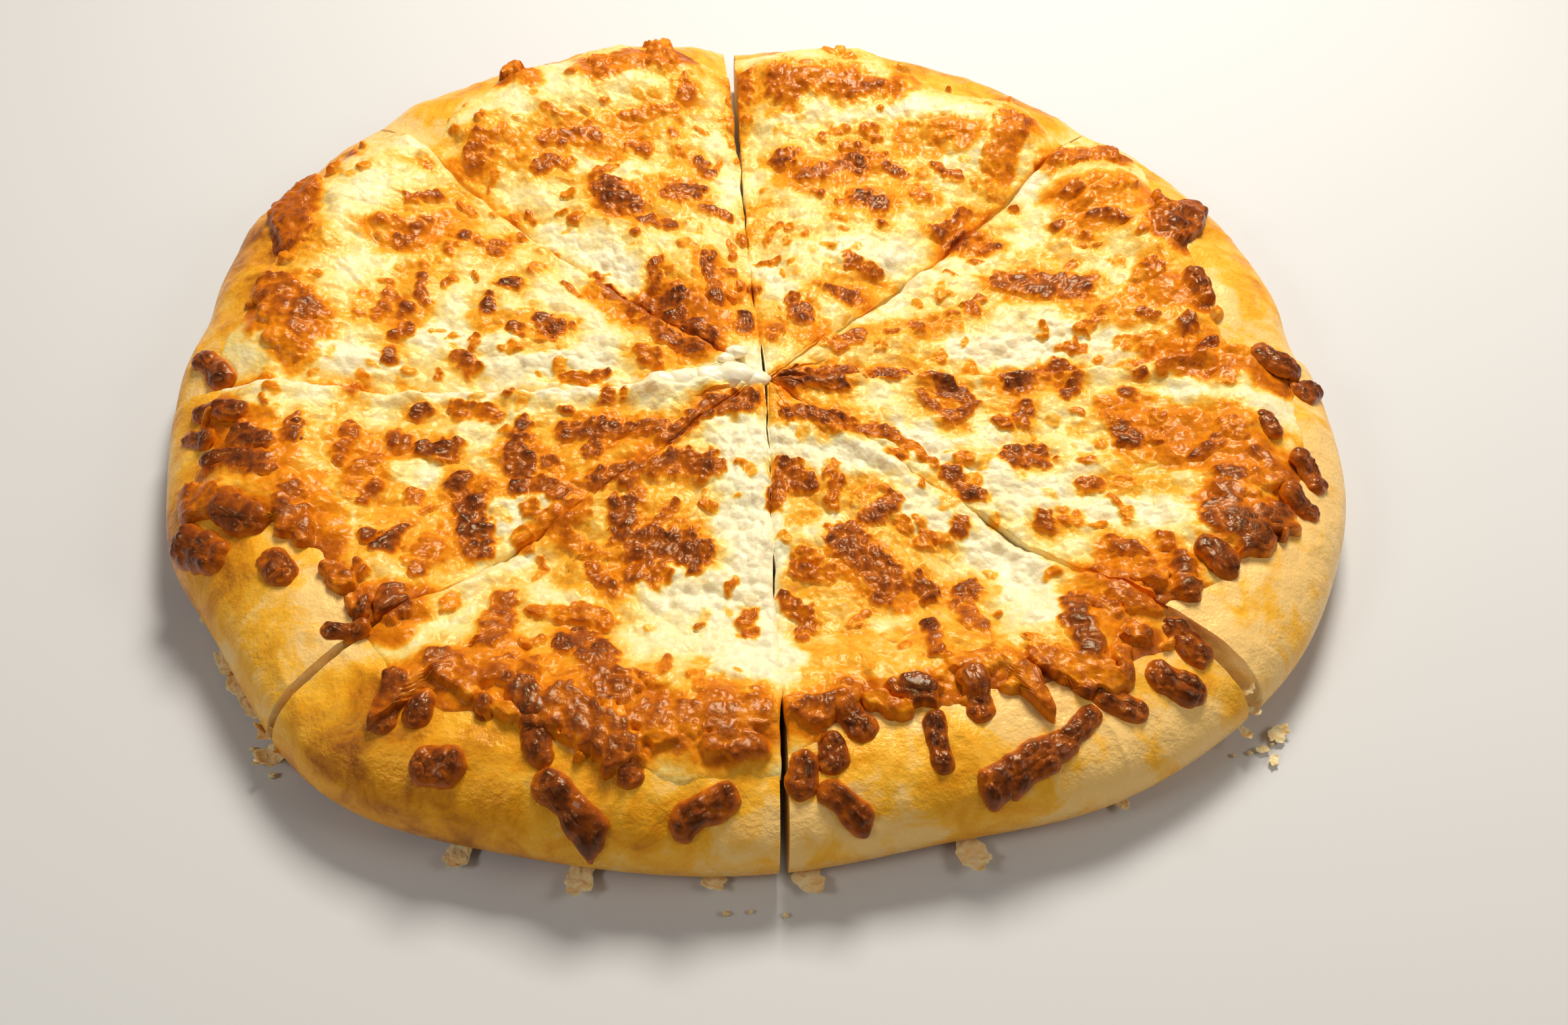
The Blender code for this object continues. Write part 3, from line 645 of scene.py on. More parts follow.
# Browned shreds in millimetres, from one end to the other: x, y, x, y, half width, and how far browned
BROWNED = (
    # The front left slice
    (-37, -46, -25, -43, 4, .85), (-25, -43, -13, -42, 4.5, .88), (-31, -47, -29, -52, 2.5, .8),
    (-32, -54, -33, -62, 3, .92), (-20, -54, -24, -60, 1.8, .8), (-27, -66, -17, -68, 6, .92),
    (-24, -75, -28, -74, 3, .8), (-38, -72, -34, -78, 2.5, .82), (-48, -58, -42, -56, 4, .7),
    (-46, -63, -40, -66, 3, .68), (-53, -66, -55, -62, 2, .65), (-13, -53, -12, -54, 2, .6),
    (-43, -71, -40, -74, 2, .5), (-4, -85, -4, -86, 2.3, .68), (-57, -82, -58, -95, 3, .82),
    (-50, -85, -33, -87, 2.3, .62), (-43, -95, -43, -96, 2.6, .97), (-38, -94, -31, -108, 4.5, .88),
    (-66, -101, -63, -104, 4, .82), (-60, -106, -50, -103, 4, .78), (-75, -107, -76, -115, 2.6, .95),
    (-80, -106, -80, -107, 1.8, .8), (-57, -112, -57, -113, 1.8, .92), (-50, -107, -47, -114, 3, .92),
    (-42, -112, -30, -122, 5, .88), (-22, -116, -3, -114, 5, .76), (-10, -121, -3, -122, 3, .76),
    (-22, -99, -22, -103, 1.5, .66), (-23, -33, -14, -26, 2.8, .85), (-12, -24, -4, -21, 4, .93),
    # The front right slice
    (8, -26, 20, -28, 3, .9), (18, -28, 32, -31, 2.6, .88), (32, -32, 41, -40, 1.8, .7),
    (32, -38, 33, -38, 2.2, .76), (7, -44, 10, -46, 3.6, .86), (3, -53, 5, -48, 2.5, .92),
    (19, -45, 16, -54, 2, .78), (31, -52, 25, -57, 2.4, .88), (33, -57, 33, -60, 2, .65),
    (46, -58, 46, -61, 2.4, .88), (20, -63, 28, -76, 5.2, .9), (8, -68, 17, -67, 1.8, .66),
    (8, -72, 15, -73, 2.2, .78), (36, -75, 38, -78, 3, .9), (37, -65, 42, -63, 2, .64),
    (4, -80, 8, -84, 2, .85), (10, -83, 11, -87, 2, .88), (9, -89, 9, -90, 1.5, .82),
    (22, -84, 20, -87, 1.8, .62), (46, -77, 46, -78, 3.2, .9), (45, -82, 46, -89, 3, .78),
    (36, -88, 36, -89, 2.2, .95), (37, -92, 37, -98, 1.8, .8), (31, -95, 30, -96, 1.5, .62),
    (68, -84, 68, -98, 3.2, .9), (72, -84, 77, -88, 1.6, .76), (79, -94, 80, -94, 2.5, .8),
    (75, -103, 76, -100, 2, .82), (10, -113, 17, -109, 4, .88), (28, -107, 33, -109, 3, .92),
    (20, -120, 24, -119, 1.6, .72), (55, -105, 58, -112, 2.5, .78), (62, -112, 66, -108, 2, .8),
    (22, -111, 27, -112, 2.4, .7), (40, -101, 47, -100, 3, .62), (58, -100, 72, -105, 3.5, .68),
    # The lower right slice
    (8, -12, 19, -14, 4, .97), (17, -8, 24, -8, 1.8, .82), (32, -8, 39, -7, 3.5, .9),
    (45, -10, 53, -20, 3.2, .94), (41, -18, 47, -25, 2.2, .88), (47, -25, 52, -23, 2, .82),
    (66, -12, 66, -9, 4.2, .95), (68, -9, 75, -7, 3.4, .85), (66, -24, 67, -21, 2.5, .93),
    (60, -26, 61, -25, 2, .82), (62, -37, 69, -37, 3.8, .92), (78, -16, 80, -13, 2, .88),
    (82, -11, 82, -12, 1.8, .82), (78, -2, 82, -3, 2, .85), (93, -16, 95, -16, 2, .84),
    (97, -9, 98, -9, 1.8, .9), (91, -29, 92, -31, 3.8, .93), (99, -24, 100, -25, 2, .68),
    (67, -57, 67, -59, 2.4, .78), (86, -56, 86, -58, 2, .68), (79, -46, 81, -46, 2.8, .78),
    (87, -46, 88, -46, 2, .68), (82, -65, 84, -68, 2.5, .8), (91, -67, 92, -68, 2, .74),
    (105, -40, 110, -37, 2.2, .9), (111, -48, 112, -48, 3.2, .9), (108, -53, 109, -54, 3, .88),
    (106, -60, 112, -68, 5, .97), (116, -62, 120, -62, 3.6, .95), (120, -42, 120, -43, 2.5, .84),
    (115, -33, 116, -34, 3.5, .72), (118, -50, 122, -48, 4, .74), (113, -7, 113, -8, 2, .74),
    (104, -9, 109, -9, 1.6, .74), (118, -14, 118, -16, 2.5, .68), (93, -73, 95, -82, 3, .92),
    (46, -42, 51, -50, 2.4, .92), (76, -76, 84, -86, 4.4, .76), (82, -74, 88, -78, 3, .72),
    # The upper right slice
    (68, 29, 78, 27, 4.6, .86), (76, 27, 87, 26, 5, .9), (91, 28, 92, 28, 2, .78),
    (75, 33, 76, 34, 2, .62), (58, 17, 58, 18, 2.5, .84), (42, 10, 42, 11, 2.2, .74),
    (35, 8, 36, 8, 1.8, .8), (27, 6, 21, 1, 2.4, .75), (32, 2, 33, 2, 1.5, .62),
    (58, 48, 61, 53, 3, .84), (66, 45, 67, 45, 2.5, .86), (86, 51, 87, 52, 2.2, .8),
    (96, 53, 103, 51, 2.2, .86), (93, 46, 95, 44, 1.6, .7), (92, 64, 92, 65, 3, .8),
    (107, 64, 108, 64, 2.5, .62), (108, 29, 109, 30, 3.5, .74), (104, 14, 105, 12, 1.8, .86),
    (90, 12, 94, 17, 2, .68), (119, 25, 121, 18, 2.5, .93), (114, 7, 115, 8, 2.5, .88),
    (117, -1, 119, 1, 2.5, .93), (116, 61, 116, 57, 1.8, .84), (92, 80, 106, 80, 4, .74),
    (98, 4, 104, 4, 3.5, .58), (119, 45, 127, 57, 5.5, .95),
    # The back right slice
    (15, 75, 23, 79, 3.6, .86), (23, 79, 31, 80, 3.6, .9), (28, 83, 29, 83, 2.6, .85),
    (43, 76, 41, 79, 2.5, .86), (7, 84, 11, 85, 3.2, .86), (30, 64, 35, 62, 3.8, .97),
    (18, 67, 19, 67, 2, .74), (24, 63, 24, 62, 1.5, .68), (48, 69, 49, 68, 2.5, .7),
    (31, 89, 32, 88, 2, .76), (35, 84, 39, 85, 1.7, .7), (24, 95, 26, 95, 2.4, .66),
    (34, 95, 38, 94, 2.2, .72), (54, 91, 57, 91, 3.4, .66), (54, 79, 60, 75, 2, .76),
    (36, 53, 36, 54, 1.8, .68), (26, 36, 33, 33, 2.4, .76), (21, 25, 28, 23, 2.5, .9),
    (13, 13, 12, 16, 2.8, .9), (9, 20, 11, 14, 2.2, .76), (-3, 13, -5, 7, 2.4, .95),
    (10, 116, 26, 114, 7, .58), (32, 112, 38, 112, 4, .78), (7, 110, 7, 113, 3, .8),
    (53, 53, 62, 62, 1.8, .82), (72, 80, 78, 95, 4.5, .6), (6, 53, 2, 47, 1.4, .64),
    (5, 9, 3, 3, 2, .74), (-3, 112, -3, 119, 2.6, .72),
    # The back left slice
    (-43, 69, -42, 62, 4.6, .94), (-41, 62, -35, 60, 4.2, .92), (-25, 66, -20, 67, 4.2, .9),
    (-16, 70, -16, 71, 2, .93), (-15, 60, -8, 58, 2, .8), (-32, 52, -25, 52, 2.3, .93),
    (-14, 79, -16, 83, 2.4, .86), (-62, 86, -48, 91, 2.9, .82), (-64, 74, -60, 78, 2.3, .82),
    (-82, 77, -81, 83, 4.2, .76), (-77, 84, -75, 88, 1.8, .66), (-37, 87, -33, 86, 2.3, .76),
    (-25, 94, -24, 92, 2.2, .78), (-21, 108, -21, 110, 2.6, .72), (-40, 98, -24, 104, 2, .66),
    (-17, 97, -16, 96, 1.5, .64), (-63, 97, -56, 96, 1.4, .66), (-55, 65, -54, 65, 1.5, .62),
    (-65, 58, -64, 55, 1.3, .72), (-28, 36, -28, 26, 1.8, .88), (-27, 20, -20, 21, 3.2, .97),
    (-14, 38, -11, 20, 2.1, .9), (-7, 34, -7, 32, 2, .78), (-23, 15, -22, 15, 2.8, .99),
    (-17, 10, -13, 4, 3.4, .97), (-48, 115, -49, 123, 2.6, .66), (-29, 122, -30, 131, 4.6, .68),
    (-76, 116, -76, 121, 2.6, .62), (-20, 44, -18, 40, 1.8, .55),
    # The upper left slice
    (-125, 12, -116, 4, 5.4, .82), (-124, 4, -116, -2, 3.6, .78), (-122, -6, -115, -9, 2.4, .64),
    (-67, 25, -67, 24, 2.6, .97), (-72, 16, -72, 14, 2.4, .96), (-56, 9, -53, 7, 3.6, .92),
    (-64, 8, -64, 7, 1.5, .8), (-88, 15, -90, 25, 2, .82), (-93, 12, -92, 11, 2, .85),
    (-90, 5, -94, 2, 2, .8), (-83, 24, -83, 23, 1.5, .7), (-92, 46, -98, 38, 2.8, .8),
    (-104, 43, -100, 45, 2, .64), (-82, 44, -82, 42, 1.9, .86), (-84, 38, -84, 35, 1.4, .64),
    (-71, 42, -72, 37, 2.4, .82), (-97, 54, -90, 58, 1.9, .76), (-61, 33, -60, 32, 2.2, .64),
    (-52, 25, -48, 21, 1.5, .76), (-42, 27, -31, 15, 2.5, .8), (-30, 10, -20, 2, 2.8, .86),
    (-18, 0, -17, -1, 3, .93), (-30, -1, -28, -4, 2.8, .7), (-94, -5, -94, -6, 2.4, .8),
    (-73, -8, -76, -4, 2.3, .8), (-102, -17, -100, -20, 2.8, .76), (-124, 34, -128, 44, 5, .8),
    (-130, 46, -127, 58, 4.5, .7), (-123, 86, -126, 75, 5, .66), (-123, 91, -121, 92, 2.2, .85),
    (-98, 20, -99, 8, 1.7, .68), (-50, -10, -40, -9, 1.6, .84),
    # The lower left slice
    (-121, -39, -116, -42, 3, .96), (-125, -47, -114, -50, 3, .97), (-109, -36, -109, -40, 2.7, .9),
    (-133, -56, -126, -59, 4.6, .8), (-107, -56, -105, -67, 2.8, .9), (-101, -70, -103, -62, 1.9, .8),
    (-94, -78, -91, -81, 2.1, .82), (-98, -33, -99, -43, 2.1, .7), (-88, -34, -86, -36, 2.8, .82),
    (-80, -38, -74, -37, 2.9, .94), (-84, -26, -82, -25, 2.5, .94), (-74, -25, -66, -25, 2.4, .78),
    (-63, -20, -63, -17, 1.4, .74), (-38, -19, -38, -20, 2.1, .9), (-34, -18, -34, -19, 1.1, .8),
    (-49, -24, -48, -24, 1.4, .8), (-48, -31, -36, -30, 2.8, .88), (-36, -30, -25, -30, 2.6, .92),
    (-40, -35, -41, -38, 2.4, .84), (-58, -28, -58, -30, 2.4, .9), (-59, -36, -57, -43, 3.6, .9),
    (-51, -40, -50, -41, 2.4, .9), (-57, -48, -47, -50, 3.2, .9), (-71, -47, -71, -49, 2.7, .97),
    (-68, -54, -65, -66, 4.3, .97), (-80, -52, -80, -54, 2, .8), (-89, -52, -90, -58, 1.7, .76),
    (-88, -66, -88, -67, 1.9, .93), (-82, -64, -84, -71, 2.2, .93), (-88, -77, -88, -78, 1.7, .76),
    (-76, -75, -76, -77, 2, .76), (-78, -88, -79, -85, 3.4, .93), (-85, -87, -85, -89, 1.7, .97),
    (-95, -50, -92, -44, 3.6, .64), (-76, -72, -74, -68, 4.5, .6),
)
# Orange and yellow fields in millimetres, where the sheet is coloured but lies flat: as above
FIELDS = (
    (-58, -98, -28, -112, 10, .44), (-24, -114, -3, -115, 9, .50), (-70, -104, -60, -108, 7, .46),
    (-38, -46, -16, -42, 7, .38), (-22, -66, -22, -68, 11, .38), (-45, -62, -38, -76, 8, .36),
    (8, -98, 34, -94, 9, .32), (22, -68, 30, -76, 9, .44), (14, -112, 44, -108, 8, .44),
    (6, -46, 10, -56, 6, .36), (8, -78, 18, -86, 9, .34), (52, -106, 84, -102, 8, .48),
    (70, -86, 80, -96, 6, .46), (46, -80, 46, -90, 6, .36), (36, -58, 30, -52, 6, .34),
    (94, -26, 122, -44, 13, .46), (104, -60, 118, -62, 9, .52), (80, -72, 94, -86, 8, .46),
    (46, -12, 52, -22, 7, .40), (64, -10, 76, -8, 7, .42), (112, -8, 130, -14, 7, .50),
    (64, -36, 68, -38, 6, .34), (84, -46, 96, -50, 7, .34), (68, 29, 90, 26, 9, .42),
    (118, 44, 128, 58, 9, .56), (108, 22, 120, 18, 8, .46), (92, 62, 112, 62, 9, .42),
    (90, 80, 108, 80, 6, .50), (30, 8, 50, 12, 6, .36), (98, 2, 116, 2, 7, .38),
    (90, 18, 108, 14, 8, .36), (72, 36, 92, 40, 7, .30), (62, 50, 66, 46, 6, .34),
    (8, 112, 42, 112, 9, .52), (46, 92, 62, 90, 8, .44), (14, 76, 30, 80, 9, .42),
    (34, 64, 50, 68, 7, .38), (74, 78, 80, 96, 6, .50), (22, 26, 32, 34, 7, .36), (-4, 8, 14, 10, 6, .38),
    (-46, 84, -28, 102, 9, .40), (-50, 118, -24, 126, 7, .50), (-82, 78, -62, 86, 9, .40),
    (-42, 64, -18, 68, 9, .38), (-28, 22, -14, 10, 9, .50), (-14, 38, -10, 22, 5, .42),
    (-80, 116, -70, 112, 6, .46), (-124, 10, -118, -2, 11, .46), (-126, 32, -130, 56, 8, .56),
    (-122, 74, -122, 90, 8, .58), (-100, 40, -84, 46, 9, .40), (-92, 8, -92, 26, 6, .38),
    (-72, 10, -52, 8, 6, .36), (-44, 26, -22, 4, 6, .42), (-128, -34, -112, -48, 10, .46),
    (-124, -62, -118, -70, 9, .50), (-106, -54, -92, -92, 9, .44), (-96, -40, -82, -58, 9, .38),
    (-70, -50, -66, -64, 8, .42), (-58, -36, -48, -48, 8, .42), (-48, -30, -28, -30, 7, .38),
    (-88, -88, -78, -88, 8, .48),
)
# Wet white curd in millimetres, where the sheet is thin and uncoloured: as above
WHITES = (
    (-107, -9, -92, -8, 5, .85), (-85, 2, -66, 1, 5, .8), (-70, -6, -42, -6, 5, .9),
    (-122, 72, -108, 60, 4, .5), (-62, 50, -36, 28, 7, .85), (-96, 88, -84, 96, 5, .6),
    (-50, 78, -40, 74, 5, .5), (-12, 92, -8, 60, 6, .5), (22, 42, 46, 38, 7, .85), (2, 38, 8, 20, 5, .8),
    (20, 104, 50, 102, 6, .5), (58, 76, 66, 84, 5, .5), (54, 3, 98, 4, 6, .9), (78, 8, 88, 10, 5, .7),
    (50, 36, 66, 36, 6, .5), (100, 30, 92, 38, 5, .4), (34, -30, 52, -42, 7, 1.0),
    (54, -46, 97, -60, 7, .85), (72, -48, 80, -36, 5, .6), (53, -18, 60, -32, 4, .6),
    (5, -34, 29, -40, 6, .9), (34, -51, 50, -63, 6, .95), (51, -56, 62, -84, 6, .85),
    (12, -62, 16, -58, 4, .6), (-6, -32, 0, -98, 8, 1.0), (-24, -76, -4, -84, 7, .85),
    (-10, -96, -8, -88, 6, .7), (-48, -80, -40, -84, 4, .5), (-78, -17, -4, -11, 6, 1.0),
    (-60, -58, -48, -54, 5, .9), (-64, -72, -56, -66, 5, .8), (-70, -32, -58, -24, 5, .6),
    (-84, -46, -78, -46, 4, .6),
)
FLECKS = 700
FLECK_SEED = 5
HALO = 0.0031
WASH = 0.010
# Painted warm light: how much yellow cast is added over the back of the sheet, standing in for warm reflected
# light
PAINTED_WARM_LIGHT_BEHIND = 0.06
FIELD_HEAT = 1.24
SOFT_EDGE = 0.0005


def flecks():
    """Small seeded shreds strewn over the whole sheet, most of them only yellow or orange."""
    random = np.random.default_rng(FLECK_SEED)
    turn = random.uniform(0.0, 2.0 * math.pi, FLECKS)
    out = 0.138 * np.sqrt(random.uniform(0.004, 1.0, FLECKS))
    lean = random.uniform(0.0, math.pi, FLECKS)
    length = random.uniform(0.0, 0.0034, FLECKS)
    x = out * np.cos(turn)
    y = out * np.sin(turn)
    width = random.uniform(0.0006, 0.0020, FLECKS)
    strength = 0.36 + 0.36 * random.uniform(0.0, 1.0, FLECKS) ** 1.6
    return np.stack([x, y, x + length * np.cos(lean), y + length * np.sin(lean), width, strength], axis=1)


shreds = np.array(BROWNED) * np.array((MM, MM, MM, MM, MM, 1.0))
fields = np.array(FIELDS) * np.array((MM, MM, MM, MM, MM, 1.0))
whites = np.array(WHITES) * np.array((MM, MM, MM, MM, MM, 1.0))
all_shreds = np.concatenate([shreds, flecks()])


def grains(x, y):
    """The bubbles of browned cheese, 0 to 1: round ones of about 3 mm, and smaller ones between."""
    return 0.45 * domes(x, y, 0.0046, 37) + 0.35 * domes(x, y, 0.0027, 38) + 0.20 * domes(x, y, 0.0014, 36)


def near_line(x, y, ends, far):
    """The points within a box round a short line, their distance from it, and its length."""
    from_x, from_y, to_x, to_y = ends
    across = to_x - from_x
    upward = to_y - from_y
    span = math.hypot(across, upward)
    near = np.nonzero((np.abs(x - from_x) < far + span) & (np.abs(y - from_y) < far + span))
    dx = x[near] - from_x
    dy = y[near] - from_y
    along = np.clip((dx * across + dy * upward) / max(span, 1e-9) ** 2, 0.0, 1.0)
    return near, np.hypot(dx - along * across, dy - along * upward), span


def browning(x, y):
    """How far the cheese is browned, 0 to 1, where a shred stands proud, and where wet curd shows.

    Each shred has a body with a ragged edge, where the tops of the bubbles are the darkest. Round it lies an
    orange halo, stronger in some parts of the bread than in others, and a wide yellow wash where shreds are
    many. Towards the back a yellow cast is added as painted warm light, not browning. Places are warped by
    swells first.
    """
    warped_x = x + 0.0016 * swell(x, y, 0.0085, 71) + 0.0007 * swell(x, y, 0.0028, 72)
    warped_y = y + 0.0016 * swell(x, y, 0.0085, 73) + 0.0007 * swell(x, y, 0.0028, 74)
    ragged = 0.30 * layered(x, y, 0.0026, 75, 2)
    bubble = grains(x, y)
    body = np.zeros(x.shape)
    body_heat = np.zeros(x.shape)
    cool = np.ones(x.shape)
    wash = np.zeros(x.shape)
    for *ends, width, strength in all_shreds:
        near, gap, span = near_line(warped_x, warped_y, ends, width + 2.2 * WASH)
        inside = 1.0 - smooth((gap / width - 0.70 + ragged[near]) / (0.55 + SOFT_EDGE / width))
        outside = np.maximum(gap - width, 0.0)
        weight = strength * min(1.0, width / 0.0022)
        cool[near] *= 1.0 - 0.92 * weight * np.exp(-((outside / HALO) ** 1.5))
        wash[near] += weight * (width + 0.3 * span) / 0.004 * np.exp(-((gap / WASH) ** 2))
        body[near] = np.maximum(body[near], inside * smooth(strength / 0.6))
        body_heat[near] = np.maximum(body_heat[near], inside * strength)
    baked = 0.36 + 0.14 * np.clip(layered(x, y, 0.030, 76, 2), -1.0, 1.0)
    base = 0.13 * (1.0 - np.exp(-0.45 * wash)) + baked * (1.0 - cool)
    # Painted warm light: the sheet is drawn yellower towards the back, as if lit by warm reflected light
    base = base + PAINTED_WARM_LIGHT_BEHIND * smooth((y + 0.03) / 0.10)
    uneven = 0.55 * layered(x, y, 0.011, 77, 3)
    for *ends, width, strength in fields:
        near, gap, _ = near_line(warped_x, warped_y, ends, 2.0 * width)
        inside = 1.0 - smooth((gap / width - 0.55 + 0.8 * uneven[near]) / 0.9)
        field_heat = FIELD_HEAT * strength * inside * (1.0 - 0.35 * np.abs(uneven[near]))
        base[near] = np.maximum(base[near], field_heat)
    white = np.zeros(x.shape)
    for *ends, width, strength in whites:
        near, gap, _ = near_line(warped_x, warped_y, ends, 1.6 * width)
        inside = 1.0 - smooth((gap / width - 0.45 + uneven[near]) / 0.7)
        white[near] = np.maximum(white[near], strength * inside)
    base = base * (1.0 - 0.95 * white)
    heat = base + np.maximum(body_heat * (0.68 + 0.47 * bubble) - base, 0.0)
    return heat, body * smooth((body_heat - 0.25) / 0.4), white


def sheet_relief(x, y, body, white):
    """Height of the sheet's surface over its even thickness: cream lumps, and bubbles where browned."""
    lumps = 0.00080 * layered(x, y, 0.012, 31) + 0.00115 * domes(x, y, 0.0070, 34)
    creases = 0.00038 * layered(x, y, 0.0030, 39, 2) + white * 0.00090 * domes(x, y, 0.0036, 35)
    return (lumps + creases) * (1.0 - 0.5 * body) + body * (0.0006 + 0.0013 * grains(x, y))


HELD_FROM = 0.0250
HELD_MORE = 0.0020


def settled(height):
    """Holds the highest places down, so that none stands far over the top of the bread's own box."""
    held = HELD_FROM + HELD_MORE * np.tanh((height - HELD_FROM) / HELD_MORE)
    return np.where(height > HELD_FROM, held, height)


MILK = (0.94, 0.84, 0.55)
CREAM = (0.92, 0.775, 0.42)
BUTTER = (0.91, 0.68, 0.22)
AMBER = (0.88, 0.42, 0.030)
ORANGE = (0.78, 0.235, 0.004)
ORANGE_BROWN = (0.50, 0.112, 0.003)
RED_BROWN = (0.25, 0.050, 0.006)
DARK_BROWN = (0.090, 0.018, 0.004)
CHEESE_STOPS = (
    (0.00, MILK), (0.10, CREAM), (0.22, BUTTER), (0.37, AMBER), (0.51, ORANGE), (0.67, ORANGE_BROWN),
    (0.84, RED_BROWN),
    (1.00, DARK_BROWN),
)


def cheese_finish(name, gloss):
    """Melted cheese from cream to dark brown, with an oily skin and fine pits."""
    cheese = Finish(name)
    heat = cheese.read("browning")
    heat = cheese.math("ADD", heat, cheese.spread(cheese.noise(0.0016, 4.0), 0.3, 0.7, -0.06, 0.06))
    heat = cheese.math("ADD", heat, cheese.spread(cheese.noise(0.013, 3.0), 0.35, 0.65, -0.05, 0.06))
    pits = cheese.math("MULTIPLY", cheese.cells(0.0012), -0.6)
    cheese.bump(cheese.math("ADD", pits, cheese.noise(0.0008, 3.0)), 0.35, 0.0005)
    cheese.set(
        Base_Color=cheese.ramp(heat, CHEESE_STOPS),
        Roughness=cheese.spread(cheese.noise(0.003, 3.0), 0.3, 0.7, 0.22, 0.40),
        Specular_IOR_Level=0.28,
        Specular_Tint=OILY_TINT,
        Subsurface_Weight=0.22,
        Subsurface_Scale=0.003,
        Coat_Weight=gloss,
        Coat_Roughness=0.12,
    )
    return cheese


cheese = cheese_finish("melted_cheese", 0.10)


def sheet_edge(number, apex, rays, reach):
    """Distance of the sheet's edge along each ray: soft steps between the named insets, and lobes.

    A shred that touches the edge carries it outwards with it.
    """
    insets = np.array(SHEET_INSETS[number])
    share = np.linspace(0.0, len(insets) - 1.0, len(rays))
    start = np.minimum(share.astype(int), len(insets) - 2)
    inset = insets[start] + (insets[start + 1] - insets[start]) * smooth(share - start)
    around = rays * 0.12
    inset = inset + 0.0016 * layered(around, around * 0.0 + number, 0.012, 51, 4)
    edge = reach - np.maximum(inset, CLOSEST_TO_OUTLINE)
    steps = np.arange(0.0, 0.012, 0.0004)
    distance = edge + steps[:, None]
    body = browning(apex[0] + distance * np.cos(rays), apex[1] + distance * np.sin(rays))[1]
    carried = np.cumprod((body > 0.4) & (distance < reach - CLOSEST_TO_OUTLINE), axis=0).sum(axis=0) * 0.0004
    for _ in range(6):
        carried = (np.roll(carried, 1) + carried + np.roll(carried, -1)) / 3.0
    return edge + carried


